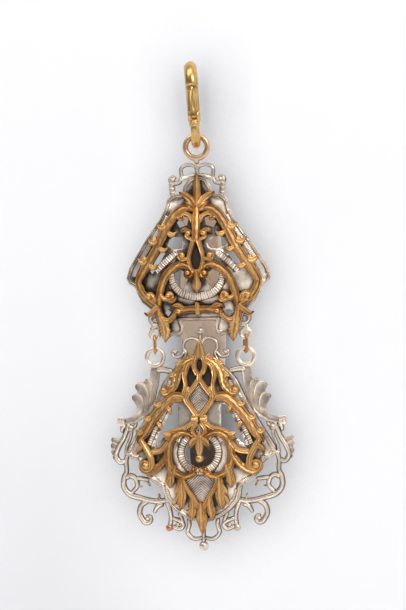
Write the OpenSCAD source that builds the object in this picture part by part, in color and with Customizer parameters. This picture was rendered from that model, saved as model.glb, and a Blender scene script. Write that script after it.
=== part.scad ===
/* [Snap hook] */
// Height of the hook's loop, outside
hook_h = 26.8; // [24:0.1:30]
// Depth of the hook's loop from front to back, outside
hook_depth = 14.0; // [13:0.1:15]
// Thickness of the hook's bow
bow_d = 4.0; // [3.4:0.1:4.2]
// Thickness of the hook below its collar, where the ring hangs
bend_d = 2.8; // [2.2:0.1:2.9]
// Lean of the hook from the plates' axis, in degrees
hook_lean = 3.4; // [0:0.1:5]
// Turn of the hook about its own height, in degrees
hook_turn = 8.5; // [0:0.5:10]

/* [Rings and links] */
// Outer diameter of the ring at the top
top_ring_d = 8.6; // [8.2:0.1:9]
// Hole of the ring at the top
top_ring_hole = 5.0; // [4.8:0.1:5.2]
// Outer diameter of the two side rings
side_ring_d = 6.7; // [6.4:0.1:7]
// Hole of the two side rings
side_ring_hole = 3.6; // [3.4:0.1:3.8]
// Wire of the two links
link_wire = 0.9; // [0.7:0.05:1]

/* [Plates] */
// Thickness of the silver plates
plate_t = 0.8; // [0.6:0.1:1]
// Height of the raised rims and bands on the plates
relief = 0.4; // [0.2:0.05:0.45]
// Rise of the upper plate's dome
upper_rise = 4.5; // [3.5:0.1:5]
// Rise of the lower plate's dome
lower_rise = 3.4; // [2.5:0.1:4]

/* [Overlays] */
// Clearance between each gilt overlay and the raised bands it lies on
overlay_gap = 0.1; // [0.05:0.05:0.2]
// Height of an overlay's edge
edge_h = 0.6; // [0.4:0.1:0.8]
// Height that an overlay's ridge stands above its edge
ridge_h = 0.5; // [0.3:0.1:0.7]
// Breadth of the overlays' scrolls, as a share of the widths in their tables
breadth = 1.25; // [1:0.05:1.3]

/* [Silver frame] */
// Thickness of the cast frame round the lower plate
frame_t = 1.2; // [1:0.1:1.5]

/* [Belt hook] */
// Thickness of the tongue that goes behind the waistband
tongue_t = 0.9; // [0.7:0.1:1.2]
// Clear depth between the tongue and the plates' rims
belt_gap = 6.0; // [5.5:0.1:7]
// How far below the top ring's centre the tongue's tip lies
tongue_tip = 103; // [98:1:108]

/* [Hidden] */

silver = [0.72, 0.69, 0.64];
gilt = [0.76, 0.55, 0.22];
brass = [0.80, 0.63, 0.28];
copper_gilt = [0.70, 0.47, 0.28];

// The origin is the hang point, inside the top of the hook's bow. X runs to the right, Z up,
// and the front faces -Y. All tables give places from the top ring's centre, across and up.
hang_to_ring = hook_h - bow_d - 0.6;
axis_x = hang_to_ring * sin(hook_lean);
axis_z = -hang_to_ring * cos(hook_lean);

// Columns of a station on a scroll: across, up, half the strip's width
X = 0;
Z = 1;
W = 2;

// A scroll's row: its stations, the curl at its start and the curl at its end, [] for none.
// Columns of a curl: its side, 1 to the left of the way the scroll runs and -1 to the right,
// its first and last radius, and the degrees it turns through
STATIONS = 0;
START = 1;
END = 2;
SIDE = 0;
R_FIRST = 1;
R_LAST = 2;
TURN = 3;

// Columns of a bead: across, up, radius
BEAD_R = 2;

small = 0.01;
reach = 60;
seat = 0.1;

// Foot loops of the upper plate, the links and the side rings hang in one plane at foot_y
foot_wire_r = 0.5;
foot_mid_r = 1.45;
foot_y = plate_t / 2;
foot_z = -57.0;
link_x = 14.0;
link_r = link_wire / 2;
link_bend_r = 1.45;
side_ring_z = -64;
side_wire_r = (side_ring_d - side_ring_hole) / 4;
side_mid_r = (side_ring_d + side_ring_hole) / 4;
link_top = foot_z - foot_mid_r + foot_wire_r + seat + link_r;
link_bottom = side_ring_z + side_mid_r - side_wire_r - seat - link_r;

// The frame lies behind the lower plate, and the side rings are in its middle
lower_y = foot_y - plate_t - seat - frame_t / 2;

// Smooth curve through the stations p, with n steps between two of them
function between(a, b, c, d, t) =
    b + t * (c - a) / 2 + t * t * (2 * a - 5 * b + 4 * c - d) / 2
      + t * t * t * (3 * b - a - 3 * c + d) / 2;
function smooth(p, n) =
    let (e = len(p) - 1)
    [for (i = [0 : e - 1])
        for (k = [0 : n - 1])
            between(p[max(i - 1, 0)], p[i], p[i + 1], p[min(i + 2, e)], k / n),
     p[e]];

// Stations of a curl that goes on from station b, which comes after station a
function curl(a, b, c) =
    c == [] ? [] :
    let (heading = atan2(b[Z] - a[Z], b[X] - a[X]),
         to_centre = heading + 90 * c[SIDE],
         cx = b[X] + c[R_FIRST] * cos(to_centre),
         cz = b[Z] + c[R_FIRST] * sin(to_centre),
         steps = ceil(c[TURN] / 60))
    [for (i = [1 : steps])
        let (t = i / steps,
             r = c[R_FIRST] + t * (c[R_LAST] - c[R_FIRST]),
             angle = heading - 90 * c[SIDE] + c[SIDE] * c[TURN] * t)
        [cx + r * cos(angle), cz + r * sin(angle), b[W] * (1 - 0.45 * t)]];

function backwards(p) = [for (i = [len(p) - 1 : -1 : 0]) p[i]];

// The whole path of a scroll's row
function path(row, n) =
    let (p = smooth(row[STATIONS], n),
         e = len(p) - 1)
    concat(backwards(curl(p[1], p[0], row[START])), p, curl(p[e - 1], p[e], row[END]));

// Depth of a dome's face at (x, z): a sphere's cap that rises by rise within radius r0 of its
// centre, at height zc, with a flat flange round it
function ball_r(rise, r0) = (r0 * r0 + rise * rise) / (2 * rise);
function face_y(x, z, dome) =
    let (big = ball_r(dome[1], dome[2]),
         r2 = x * x + (z - dome[0]) * (z - dome[0]))
    r2 >= dome[2] * dome[2] ? 0 : big - dome[1] - sqrt(big * big - r2);

// Domes: height of the centre, rise, radius of the foot
upper_dome = [-36, upper_rise, 21];
lower_dome = [-91, lower_rise, 23];
no_dome = [0, 1, 0];

// Unit vector across a path at its station i
function across(p, i) =
    let (a = p[max(i - 1, 0)],
         b = p[min(i + 1, len(p) - 1)],
         run = norm([b[X] - a[X], b[Z] - a[Z]]))
    [(a[Z] - b[Z]) / run, (b[X] - a[X]) / run];

// Both edges of a strip in the front view, out along one and back along the other
function edges(p) =
    let (e = len(p) - 1)
    [for (s = [1, -1])
        for (k = [0 : e])
            let (i = s > 0 ? k : e - k)
            [p[i][X], p[i][Z]] + s * p[i][W] * across(p, i)];

// A strip of cast metal along a path. Across it stand five points, two at the foot, two at
// the shoulders and one on the ridge, and the foot follows the dome at the depth y0
module strip(p, dome, y0, edge, ridge) {
    e = len(p) - 1;
    rings = [for (i = [0 : e])
        let (n = across(p, i),
             w = p[i][W],
             top = edge + min(ridge, w * 0.8))
        for (s = [[-1, 0], [-1, edge], [0, top], [1, edge], [1, 0]])
            let (x = p[i][X] + n[0] * w * s[0],
                 z = p[i][Z] + n[1] * w * s[0])
            [x, y0 + face_y(x, z, dome) - s[1], z]];
    sides = [for (i = [0 : e - 1])
        for (k = [0 : 4])
            let (m = (k + 1) % 5)
            [i * 5 + k, i * 5 + m, i * 5 + 5 + m, i * 5 + 5 + k]];
    polyhedron(rings, concat(sides,
        [[4, 3, 2, 1, 0]],
        [[e * 5, e * 5 + 1, e * 5 + 2, e * 5 + 3, e * 5 + 4]]));
}

// Every scroll of a table; a short one runs straight from station to station
module scrolls(table, dome, y0, edge, ridge, broad = 1) {
    for (row = table) {
        p = path(row, len(row[STATIONS]) > 3 ? 2 : 1);
        strip([for (q = p) [q[X], q[Z], q[W] * broad]], dome, y0, edge, ridge);
    }
}

// A cast bead: a low button with a flat back
module button(x, z, r, y, h) {
    translate([x, y, z])
        rotate([90, 0, 0])
            hull() {
                cylinder(r = r, h = h * 0.5, $fn = 10);
                cylinder(r = r * 0.5, h = h, $fn = 10);
            }
}

// Mirrored pair about the plates' axis
module pair() {
    children();
    mirror([1, 0, 0]) children();
}

module from_ring() translate([axis_x, 0, axis_z]) children();

// Space from front mm before a dome's face to back mm behind it
module dome_layer(dome, front, back) {
    big = ball_r(dome[1], dome[2]);
    difference() {
        union() {
            translate([0, big - dome[1], dome[0]]) sphere(r = big + front, $fn = 96);
            translate([-reach, -front, dome[0] - reach]) cube([2 * reach, 2 * reach, 2 * reach]);
        }
        translate([-2 * reach, back, dome[0] - 2 * reach])
            cube([4 * reach, 4 * reach, 4 * reach]);
        translate([0, big - dome[1], dome[0]]) sphere(r = big - back, $fn = 96);
    }
}

// A pattern drawn in the front view, standing through all depths
module through() {
    translate([0, reach / 2, 0])
        rotate([90, 0, 0]) linear_extrude(reach) children();
}

// Upper plate: right half of its outline, from the neck down to the foot
upper_edge = [[0, -8.8], [2.6, -9.6], [4.2, -12], [4.7, -14.2], [7.3, -14.3], [9.3, -16],
              [9.9, -18.6], [11.5, -22], [15.6, -27.6], [21.4, -36.6], [22.3, -39.7],
              [21.5, -41.5], [19.5, -42.6], [18.9, -44.6], [17.6, -47.2], [14.4, -49.6],
              [13.2, -52.5], [12.4, -55.5], [11.2, -57.8], [9.6, -58.2], [8.4, -57.2],
              [6.6, -57.8], [5.0, -56.6], [4.7, -54.6], [5.3, -53], [0, -53]];
module upper_outline() {
    for (s = [1, -1])
        scale([s, 1]) polygon(concat([[-small, -53], [-small, -8.8]], upper_edge));
}
// Its windows on the right half
upper_windows = [
    [[2.4, -21.6], [4.2, -21.0], [6.2, -23.0], [5.2, -24.6], [2.8, -23.8]],
    [[3.4, -29.6], [4.6, -28.0], [7.0, -27.2], [8.4, -28.2], [9.0, -30.2], [6.8, -31.0],
     [4.4, -31.0]],
    [[9.6, -32.2], [11.0, -31.8], [13.2, -35.0], [14.6, -37.6], [14.0, -38.6], [11.6, -35.6]],
    [[2.7, -40.2], [3.3, -38.3], [5.0, -37.4], [6.9, -38.4], [6.6, -40.4], [5.4, -42.6],
     [4.2, -43.2]],
    [[8.4, -50.2], [9.6, -49.4], [10.4, -50.4], [9.4, -51.6]],
];
// Its milled bands on the right half
upper_bands = [
    [[6.3, -32.2, 0.95], [9.5, -34.9, 1.0], [12.6, -37.8, 0.95]],
    [[7.9, -38.6, 0.8], [7.2, -41.8, 1.05], [4.6, -44.6, 1.15], [-0.1, -45.7, 1.15]],
];
// Crest over the upper plate and scrolls beside its feet, right half
upper_trim_scrolls = [
    [[[0.1, -8.6, 0.45], [0.3, -6.4, 0.4], [1.5, -5.5, 0.4], [3.6, -5.5, 0.45],
      [4.9, -6.5, 0.45], [4.9, -8.2, 0.45], [4.5, -10.2, 0.55]], [], []],
    [[[-0.1, -8.5, 0.6], [2.4, -8.9, 0.6], [5.0, -9.6, 0.6]], [], []],
    [[[4.8, -9.2, 0.5], [5.6, -10.7, 0.55], [7.2, -11.0, 0.6]], [], [1, 1.2, 0.6, 250]],
    [[[7.7, -10.6, 0.9], [7.7, -12.8, 0.95], [7.3, -15.4, 1.0]], [], []],
    [[[12.6, -50.6, 0.5], [14.3, -50.7, 0.5], [15.3, -52.0, 0.55], [14.6, -53.6, 0.5],
      [12.6, -53.8, 0.5]], [], []],
    [[[12.0, -54.6, 0.5], [13.6, -54.5, 0.5], [15.2, -55.5, 0.5]], [], []],
];
upper_trim_beads = [[7.9, -11.9, 0.9], [7.8, -13.6, 0.85], [13.7, -52.2, 0.7]];
module upper_trim() {
    y0 = plate_t;
    pair() scrolls(upper_trim_scrolls, no_dome, y0, 0.7, 0.4);
    pair()
        for (b = upper_trim_beads)
            frame_bead(b, foot_y);
    frame_bead([0, -5.9, 0.9], foot_y);
    pair() foot_loop();
}
// Loop at the foot of the upper plate that carries the link
module foot_loop() {
    translate([link_x, foot_y, foot_z])
        rotate([90, 0, 0])
            rotate_extrude($fn = 16)
                translate([foot_mid_r, 0]) circle(r = foot_wire_r, $fn = 6);
}

module upper_plate() {
    color(silver) from_ring() {
        upper_trim();
        intersection() {
            through() offset(r = 0.25, $fn = 8) offset(delta = -0.25) difference() {
                upper_outline();
                for (w = upper_windows)
                    pair() polygon(w);
            }
            dome_layer(upper_dome, 0, plate_t);
        }
        intersection() {
            through() offset(delta = -small) {
                difference() {
                    upper_outline();
                    offset(delta = -1.1) upper_outline();
                }
                for (b = upper_bands)
                    pair() polygon(edges(smooth(b, 3)));
            }
            dome_layer(upper_dome, relief, plate_t / 2);
        }
    }
}

// Upper overlay: scrolls of the right half
upper_scrolls = [
    // side leaves of the finial
    [[[0.2, -16.9, 0.6], [2.4, -15.4, 1.0], [5.2, -14.1, 0.2]], [], []],
    [[[0.4, -18.0, 0.6], [2.4, -17.2, 0.7], [3.6, -16.0, 0.2]], [], []],
    // rail from the stem over the arch and out to the corner
    [[[0.8, -19.6, 0.5], [2.4, -18.6, 0.8], [4.6, -18.9, 1.0], [7.0, -21.0, 1.25],
      [9.5, -25.1, 1.25], [12.6, -31.3, 1.25], [16.2, -36.9, 1.25], [18.4, -40.4, 0.9]], [], []],
    // leaves outside the rail
    [[[8.8, -24.0, 0.9], [10.8, -24.6, 0.7], [12.4, -23.4, 0.15]], [], []],
    [[[11.4, -28.4, 0.9], [13.4, -28.8, 0.7], [15.0, -27.8, 0.15]], [], []],
    [[[14.4, -33.4, 0.9], [16.6, -34.4, 0.7], [18.5, -33.8, 0.15]], [], []],
    // leaves inside the rail
    [[[9.6, -26.0, 0.9], [7.8, -27.0, 0.7], [5.8, -26.4, 0.2]], [], []],
    [[[12.4, -30.6, 0.9], [10.6, -31.6, 0.7], [8.8, -31.0, 0.2]], [], []],
    [[[15.6, -35.8, 0.9], [13.8, -37.6, 0.8], [12.0, -37.6, 0.2]], [], []],
    // curls beside the stem
    [[[0.9, -28.4, 0.5], [2.4, -27.7, 0.5]], [], [1, 1.2, 0.5, 250]],
    [[[1.9, -34.0, 0.5], [4.1, -34.3, 0.6]], [], [1, 1.2, 0.5, 250]],
    // the stem's two branches round the lozenge
    [[[0.6, -28.0, 0.8], [1.5, -31.0, 0.6], [2.2, -34.0, 0.6], [1.6, -36.8, 0.6],
      [0.1, -38.6, 0.6]], [], []],
    // large scroll of the heart
    [[[1.3, -38.4, 0.5], [1.8, -36.9, 0.7], [4.5, -35.8, 0.9], [7.6, -37.2, 1.0],
      [10.0, -40.0, 1.05], [11.3, -43.6, 1.0], [12.2, -48.6, 0.8]],
     [1, 1.3, 0.6, 250], []],
    [[[11.4, -44.6, 0.7], [10.6, -46.0, 0.7], [8.9, -46.3, 0.7]], [], [-1, 1.15, 0.5, 250]],
    // from the corner down to the leg, with its curl
    [[[18.3, -40.2, 0.7], [18.5, -42.2, 0.8], [17.2, -45.0, 0.9], [13.4, -47.6, 0.95],
      [12.2, -49.4, 0.95], [11.6, -52.0, 1.0], [10.7, -54.6, 1.2], [10.4, -57.0, 1.0],
      [10.5, -59.2, 0.2]], [], []],
    [[[12.8, -47.0, 0.7], [13.6, -45.2, 0.7]], [], [-1, 1.4, 0.6, 280]],
    // ring of the leg
    [[[12.2, -49.6, 0.6], [11.5, -51.8, 0.8], [9.7, -52.9, 0.8], [7.9, -51.9, 0.7],
      [7.0, -50.4, 0.6]], [], []],
    // leaf outside the leg
    [[[12.8, -48.8, 0.7], [15.0, -50.2, 0.6], [16.6, -50.6, 0.2]], [], []],
    // bar across the foot
    [[[-0.1, -49.4, 0.95], [3.0, -49.5, 0.95], [5.8, -49.9, 1.0], [7.5, -50.8, 0.8]], [], []],
];
// and those on its axis
upper_axis_scrolls = [
    [[[0, -8.2, 0.15], [0, -10, 0.9], [0, -12.8, 1.35], [0, -15.4, 1.0], [0, -18, 1.0],
      [0, -23, 1.25], [0, -28.6, 1.4]], [], []],
    [[[0, -37.4, 0.8], [0, -40, 0.6], [0, -42.3, 1.15], [0, -44.4, 0.2]], [], []],
    [[[0, -47.4, 0.6], [0, -51.2, 0.6]], [], []],
];
// Bosses of the upper overlay, right half
upper_bosses = [[2.4, -26.4, 0.8], [4.2, -33.0, 0.8], [2.6, -38.4, 0.7], [8.9, -45.1, 0.8],
                [15.2, -45.2, 0.8], [5.9, -50.0, 0.9]];
module upper_overlay() {
    y0 = -relief - overlay_gap;
    color(gilt) from_ring() {
        pair() scrolls(upper_scrolls, upper_dome, y0, edge_h, ridge_h, breadth);
        scrolls(upper_axis_scrolls, upper_dome, y0, edge_h, ridge_h, breadth);
        pair()
            for (b = upper_bosses)
                button(b[X], b[Z], b[BEAD_R], y0 + face_y(b[X], b[Z], upper_dome),
                       edge_h + ridge_h);
    }
}

// Ring at the top, with the stud that is soldered to the crest
top_wire_r = (top_ring_d - top_ring_hole) / 4;
top_mid_r = (top_ring_d + top_ring_hole) / 4;
module top_ring() {
    color(copper_gilt) from_ring() {
        rotate([90, 0, 0])
            rotate_extrude($fn = 64)
                translate([top_mid_r, 0]) circle(r = top_wire_r, $fn = 32);
        translate([0, 0, -4.95]) cylinder(r = 0.75, h = 1.15, $fn = 32);
    }
}

// Snap hook: a loop in the YZ plane that leans in the front view. Its own heights count down
// from the hang point.
bow_r = bow_d / 2;
bend_r = bend_d / 2;
limb_y = hook_depth / 2 - bow_r;
bow_z = bow_r - limb_y;
bend_z = bow_r + bow_r - hook_h + bend_r + limb_y;
bow_end = -3.85;
pin_z = -13.0;
pin_r = 0.6;
cheek_r = 1.75;
fork_w = 1.7;
collar_z = -15.2;
module hook_frame() rotate([0, -hook_lean, 0]) rotate([0, 0, hook_turn]) children();
module half_loop(wire_r, up) {
    rotate([90, 0, 90])
        rotate([0, 0, up ? 0 : 180])
            rotate_extrude(angle = 180, $fn = 64)
                translate([limb_y, 0]) circle(r = wire_r, $fn = 32);
}
module limb(y, z_low, z_high, r_low, r_high) {
    translate([0, y, z_low]) cylinder(h = z_high - z_low, r1 = r_low, r2 = r_high, $fn = 32);
}
module snap_hook() {
    color(brass) hook_frame() {
        translate([0, 0, bow_z]) half_loop(bow_r, true);
        limb(-limb_y, bow_end, bow_z, bow_r, bow_r);
        limb(limb_y, collar_z + 1.6, bow_z, bow_r, bow_r);
        limb(limb_y, collar_z, collar_z + 1.6, bend_r, bow_r);
        limb(limb_y, bend_z, collar_z, bend_r, bend_r);
        limb(-limb_y, bend_z, collar_z, bend_r, bend_r);
        for (s = [-1, 1])
            translate([0, s * limb_y, collar_z - 0.4])
                cylinder(h = 0.8, r = bend_r + 0.25, $fn = 32);
        translate([0, 0, bend_z]) half_loop(bend_r, false);
        difference() {
            union() {
                limb(-limb_y, collar_z, pin_z, bend_r, bow_r - 0.05);
                intersection() {
                    limb(-limb_y, pin_z - 1, pin_z + 3, bow_r - 0.05, bow_r - 0.05);
                    translate([-3, -limb_y, pin_z])
                        rotate([0, 90, 0]) cylinder(h = 6, r = cheek_r, $fn = 32);
                }
            }
            translate([-fork_w / 2, -limb_y - 3, pin_z - 1.4]) cube([fork_w, 6, 6]);
            translate([-3, -limb_y, pin_z])
                rotate([0, 90, 0]) cylinder(h = 6, r = pin_r + 0.02, $fn = 32);
        }
    }
}
module gate_pin() {
    color(brass) hook_frame()
        translate([-bow_r + 0.15, -limb_y, pin_z])
            rotate([0, 90, 0]) cylinder(h = 2 * bow_r - 0.3, r = pin_r, $fn = 32);
}
// Gate: it turns on the pin between the two cheeks, and its end meets the bow
module snap_gate() {
    gate_r = bow_r - 0.1;
    color(brass) hook_frame()
        difference() {
            union() {
                difference() {
                    limb(-limb_y, pin_z, bow_end - 0.3, gate_r, gate_r);
                    translate([-3, -limb_y, pin_z])
                        rotate([0, 90, 0]) cylinder(h = 6, r = cheek_r + 0.2, $fn = 32);
                }
                translate([-fork_w / 2 + 0.1, -limb_y - 0.95, pin_z])
                    cube([fork_w - 0.2, 1.9, 3]);
                translate([-fork_w / 2 + 0.1, -limb_y, pin_z])
                    rotate([0, 90, 0]) cylinder(h = fork_w - 0.2, r = 1.15, $fn = 32);
            }
            translate([-3, -limb_y, pin_z])
                rotate([0, 90, 0]) cylinder(h = 6, r = pin_r + 0.05, $fn = 32);
            // groove down the middle of the gate's front
            translate([-0.2, -limb_y - gate_r - 0.3, pin_z + 2.4])
                cube([0.4, 0.6, -pin_z + bow_end - 4.4]);
        }
}

// Oval link, edge on to the front and turned a little about its height
module link(turn) {
    high = link_top - link_bend_r;
    low = link_bottom + link_bend_r;
    rotate([0, 0, turn]) {
        for (end = [[high, 0], [low, 180]])
            translate([0, 0, end[0]])
                rotate([90, 0, 90])
                    rotate([0, 0, end[1]])
                        rotate_extrude(angle = 180, $fn = 64)
                            translate([link_bend_r, 0]) circle(r = link_r, $fn = 32);
        for (s = [-1, 1])
            translate([0, s * link_bend_r, low])
                cylinder(h = high - low, r = link_r, $fn = 32);
    }
}
module link_left() color(gilt) from_ring() translate([-link_x, foot_y, 0]) link(8);
module link_right() color(gilt) from_ring() translate([link_x, foot_y, 0]) link(22);

// Belt hook: its side profile, seen from the right, and its outline, seen from the front.
// Columns of its profile: depth, height, half the thickness
tongue_y = plate_t + belt_gap + tongue_t / 2;
tongue_seat_y = plate_t + seat + tongue_t / 2;
tongue_profile = [[tongue_seat_y, -10.6], [tongue_seat_y + 0.2, -14.6], [3.4, -18], [6.2, -22.4],
                  [tongue_y, -28], [tongue_y, -60], [tongue_y, -tongue_tip + 7],
                  [tongue_y + 0.7, -tongue_tip]];
tongue_outline = [[0, -10.8, 3.4], [0, -20, 5.2], [0, -40, 6.7], [0, -56, 7.0], [0, -70, 6.2],
                  [0, -82, 4.9], [0, -tongue_tip + 7, 4.6], [0, -tongue_tip + 2, 3.4],
                  [0, -tongue_tip + 0.2, 1.2]];
module belt_hook() {
    profile = [for (p = tongue_profile) [p[0], p[1], tongue_t / 2]];
    color(silver) from_ring()
        intersection() {
            through() offset(delta = -small) polygon(edges(smooth(tongue_outline, 3)));
            translate([-reach / 2, 0, 0])
                rotate([90, 0, 90])
                    linear_extrude(reach) offset(delta = -small) polygon(edges(smooth(profile, 3)));
        }
}

module lower_half() translate([0, lower_y, 0]) from_ring() children();

// Lower plate: right half of its outline, from the top down
lower_edge = [[0, -63.8], [3.2, -64.4], [5.6, -65.6], [7.8, -67.4], [10.4, -70.0],
              [11.5, -72.6], [13.4, -76.2], [16.8, -81.8], [20.2, -87.6], [23.2, -93.2],
              [21.6, -94.8], [19.3, -95.2], [18.7, -97.8], [16.9, -99.9], [14.6, -102.2],
              [12.2, -103.4], [11.8, -105.6], [10.9, -108], [8.5, -110.6], [6, -112.4],
              [3.9, -113.6], [0, -114.6]];
module lower_outline() {
    for (s = [1, -1])
        scale([s, 1]) polygon(concat([[-small, -114.6], [-small, -63.8]], lower_edge));
}
lower_windows = [
    [[6.5, -78.2], [8.2, -78.6], [11.4, -84.8], [14.2, -90.6], [12.6, -90.0], [9.6, -86.6],
     [6.5, -85.6]],
    [[13.6, -90.6], [14.8, -92.4], [14.9, -94.4], [13.8, -93.2]],
];
opening_r = 4.6;
opening_z = -93;
lower_bands = [
    [[8.6, -77.4, 0.7], [11.2, -81.2, 0.8], [13.6, -85.6, 0.8], [15.8, -90.6, 0.7]],
    [[1.0, -85.6, 0.7], [4.6, -86.2, 0.8], [7.0, -89.6, 0.8]],
];
module lower_plate() {
    color(silver) lower_half() {
        intersection() {
            through() offset(r = 0.25, $fn = 8) offset(delta = -0.25) difference() {
                lower_outline();
                for (w = lower_windows)
                    pair() polygon(w);
                translate([0, opening_z]) circle(r = opening_r, $fn = 32);
            }
            dome_layer(lower_dome, 0, plate_t);
        }
        intersection() {
            through() offset(delta = -small) {
                difference() {
                    lower_outline();
                    offset(delta = -1.1) lower_outline();
                }
                for (b = lower_bands)
                    pair() polygon(edges(smooth(b, 3)));
                difference() {
                    translate([0, opening_z]) circle(r = opening_r + 2.2, $fn = 32);
                    translate([0, opening_z]) circle(r = opening_r + 0.5, $fn = 32);
                }
            }
            dome_layer(lower_dome, relief, plate_t / 2);
        }
    }
}

// Lower overlay: scrolls of the right half
lower_scrolls = [
    // finial's two branches round the slot
    [[[0.6, -63.0, 0.9], [1.6, -65.4, 0.8], [1.5, -67.6, 0.7], [0.2, -69.4, 0.8]], [], []],
    // inner and outer lobes
    [[[1.4, -64.8, 0.8], [3.6, -66.6, 0.9], [4.3, -69.6, 0.8], [4.2, -72.6, 0.7],
      [4.8, -76.0, 0.9]], [], []],
    [[[2.0, -64.0, 0.8], [4.8, -66.0, 1.0], [6.7, -69.4, 1.1], [7.6, -72.6, 1.0],
      [9.6, -74.8, 0.8]], [], [1, 1.3, 0.5, 290]],
    // lozenge
    [[[0.1, -70.6, 0.8], [2.1, -73.6, 0.75], [4.1, -76.4, 0.85], [2.3, -79.4, 0.8],
      [0.1, -82.4, 0.9]], [], []],
    // rail out to the corner
    [[[4.4, -76.4, 1.0], [7.6, -76.0, 1.3], [10.8, -78.4, 1.3], [14.3, -82.6, 1.3],
      [17.3, -87.4, 1.2], [19.4, -90.0, 0.4]], [], []],
    // leaves of the rail
    [[[11.2, -79.0, 0.8], [12.4, -77.8, 0.6], [13.8, -78.4, 0.2]], [], []],
    [[[14.6, -83.2, 0.8], [16.0, -82.0, 0.6], [17.4, -82.8, 0.2]], [], []],
    [[[10.4, -79.0, 0.8], [9.0, -80.2, 0.6], [8.8, -81.6, 0.2]], [], []],
    // scroll at the corner
    [[[18.4, -88.6, 0.7], [16.8, -91.4, 0.8], [15.3, -94.2, 0.9], [14.9, -96.6, 0.9]],
     [], [1, 2.0, 0.7, 380]],
    // tie between heart and corner scroll
    [[[9.4, -89.4, 0.7], [11.8, -92.2, 0.8], [15.4, -92.8, 0.8]], [], []],
    [[[10.6, -94.0, 0.6], [12.6, -96.8, 0.7], [15.2, -98.8, 0.7]], [], []],
    // tie under the lozenge and the small lozenge below
    [[[-0.1, -82.9, 1.0], [2.8, -82.9, 0.9]], [], []],
    [[[0.4, -83.8, 0.6], [2.0, -86.2, 0.65], [0.5, -88.9, 0.6]], [], []],
    // heart
    [[[1.2, -89.8, 0.5], [2.4, -87.9, 0.7], [5.4, -86.9, 0.9], [8.5, -88.7, 1.0],
      [9.7, -92.4, 1.05], [9.4, -96.4, 1.0], [7.4, -99.3, 0.9], [4.2, -100.2, 0.75],
      [1.4, -98.6, 0.5]], [], [-1, 0.8, 0.5, 150]],
    [[[0.4, -89.4, 0.6], [1.9, -90.2, 0.8], [3.3, -91.8, 0.2]], [], []],
    // kite and its fronds
    [[[1.0, -99.2, 0.5], [5.0, -101.6, 0.9], [3.8, -104.8, 0.9], [1.5, -108.4, 1.0],
      [0.3, -111, 1.0]], [], []],
    [[[7.6, -98.0, 0.9], [9.4, -100.6, 1.2], [9.6, -104.0, 0.3]], [], []],
    [[[5.0, -101.4, 1.0], [6.8, -105.6, 1.25], [7.0, -110.4, 0.2]], [], []],
    [[[2.8, -105.4, 1.0], [4.3, -109.6, 1.25], [4.4, -114.0, 0.2]], [], []],
];
lower_axis_scrolls = [
    [[[0, -59.0, 0.15], [0, -61.2, 0.9], [0, -63.6, 1.8]], [], []],
    [[[0, -68.6, 0.9], [0, -71.8, 0.9]], [], []],
    [[[0, -86.9, 0.6], [0, -89.8, 1.0], [0, -92.2, 1.5], [0, -95.0, 0.3]], [], []],
    [[[0, -108.4, 1.0], [0, -111, 1.6], [0, -114.4, 1.3], [0, -118.0, 0.2]], [], []],
];
lower_bosses = [[10.9, -74.2, 0.9], [16.9, -97.0, 1.0], [0.5, -98.4, 0.6]];
module lower_overlay() {
    y0 = -relief - overlay_gap;
    color(gilt) lower_half() {
        pair() scrolls(lower_scrolls, lower_dome, y0, edge_h, ridge_h, breadth);
        scrolls(lower_axis_scrolls, lower_dome, y0, edge_h, ridge_h, breadth);
        pair()
            for (b = lower_bosses)
                button(b[X], b[Z], b[BEAD_R], y0 + face_y(b[X], b[Z], lower_dome),
                       edge_h + ridge_h);
        button(0, -94.6, 1.0, y0 + face_y(0, -94.6, lower_dome), edge_h + ridge_h);
        button(0, -83, 1.0, y0 + face_y(0, -83, lower_dome), edge_h + ridge_h);
    }
}

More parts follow.
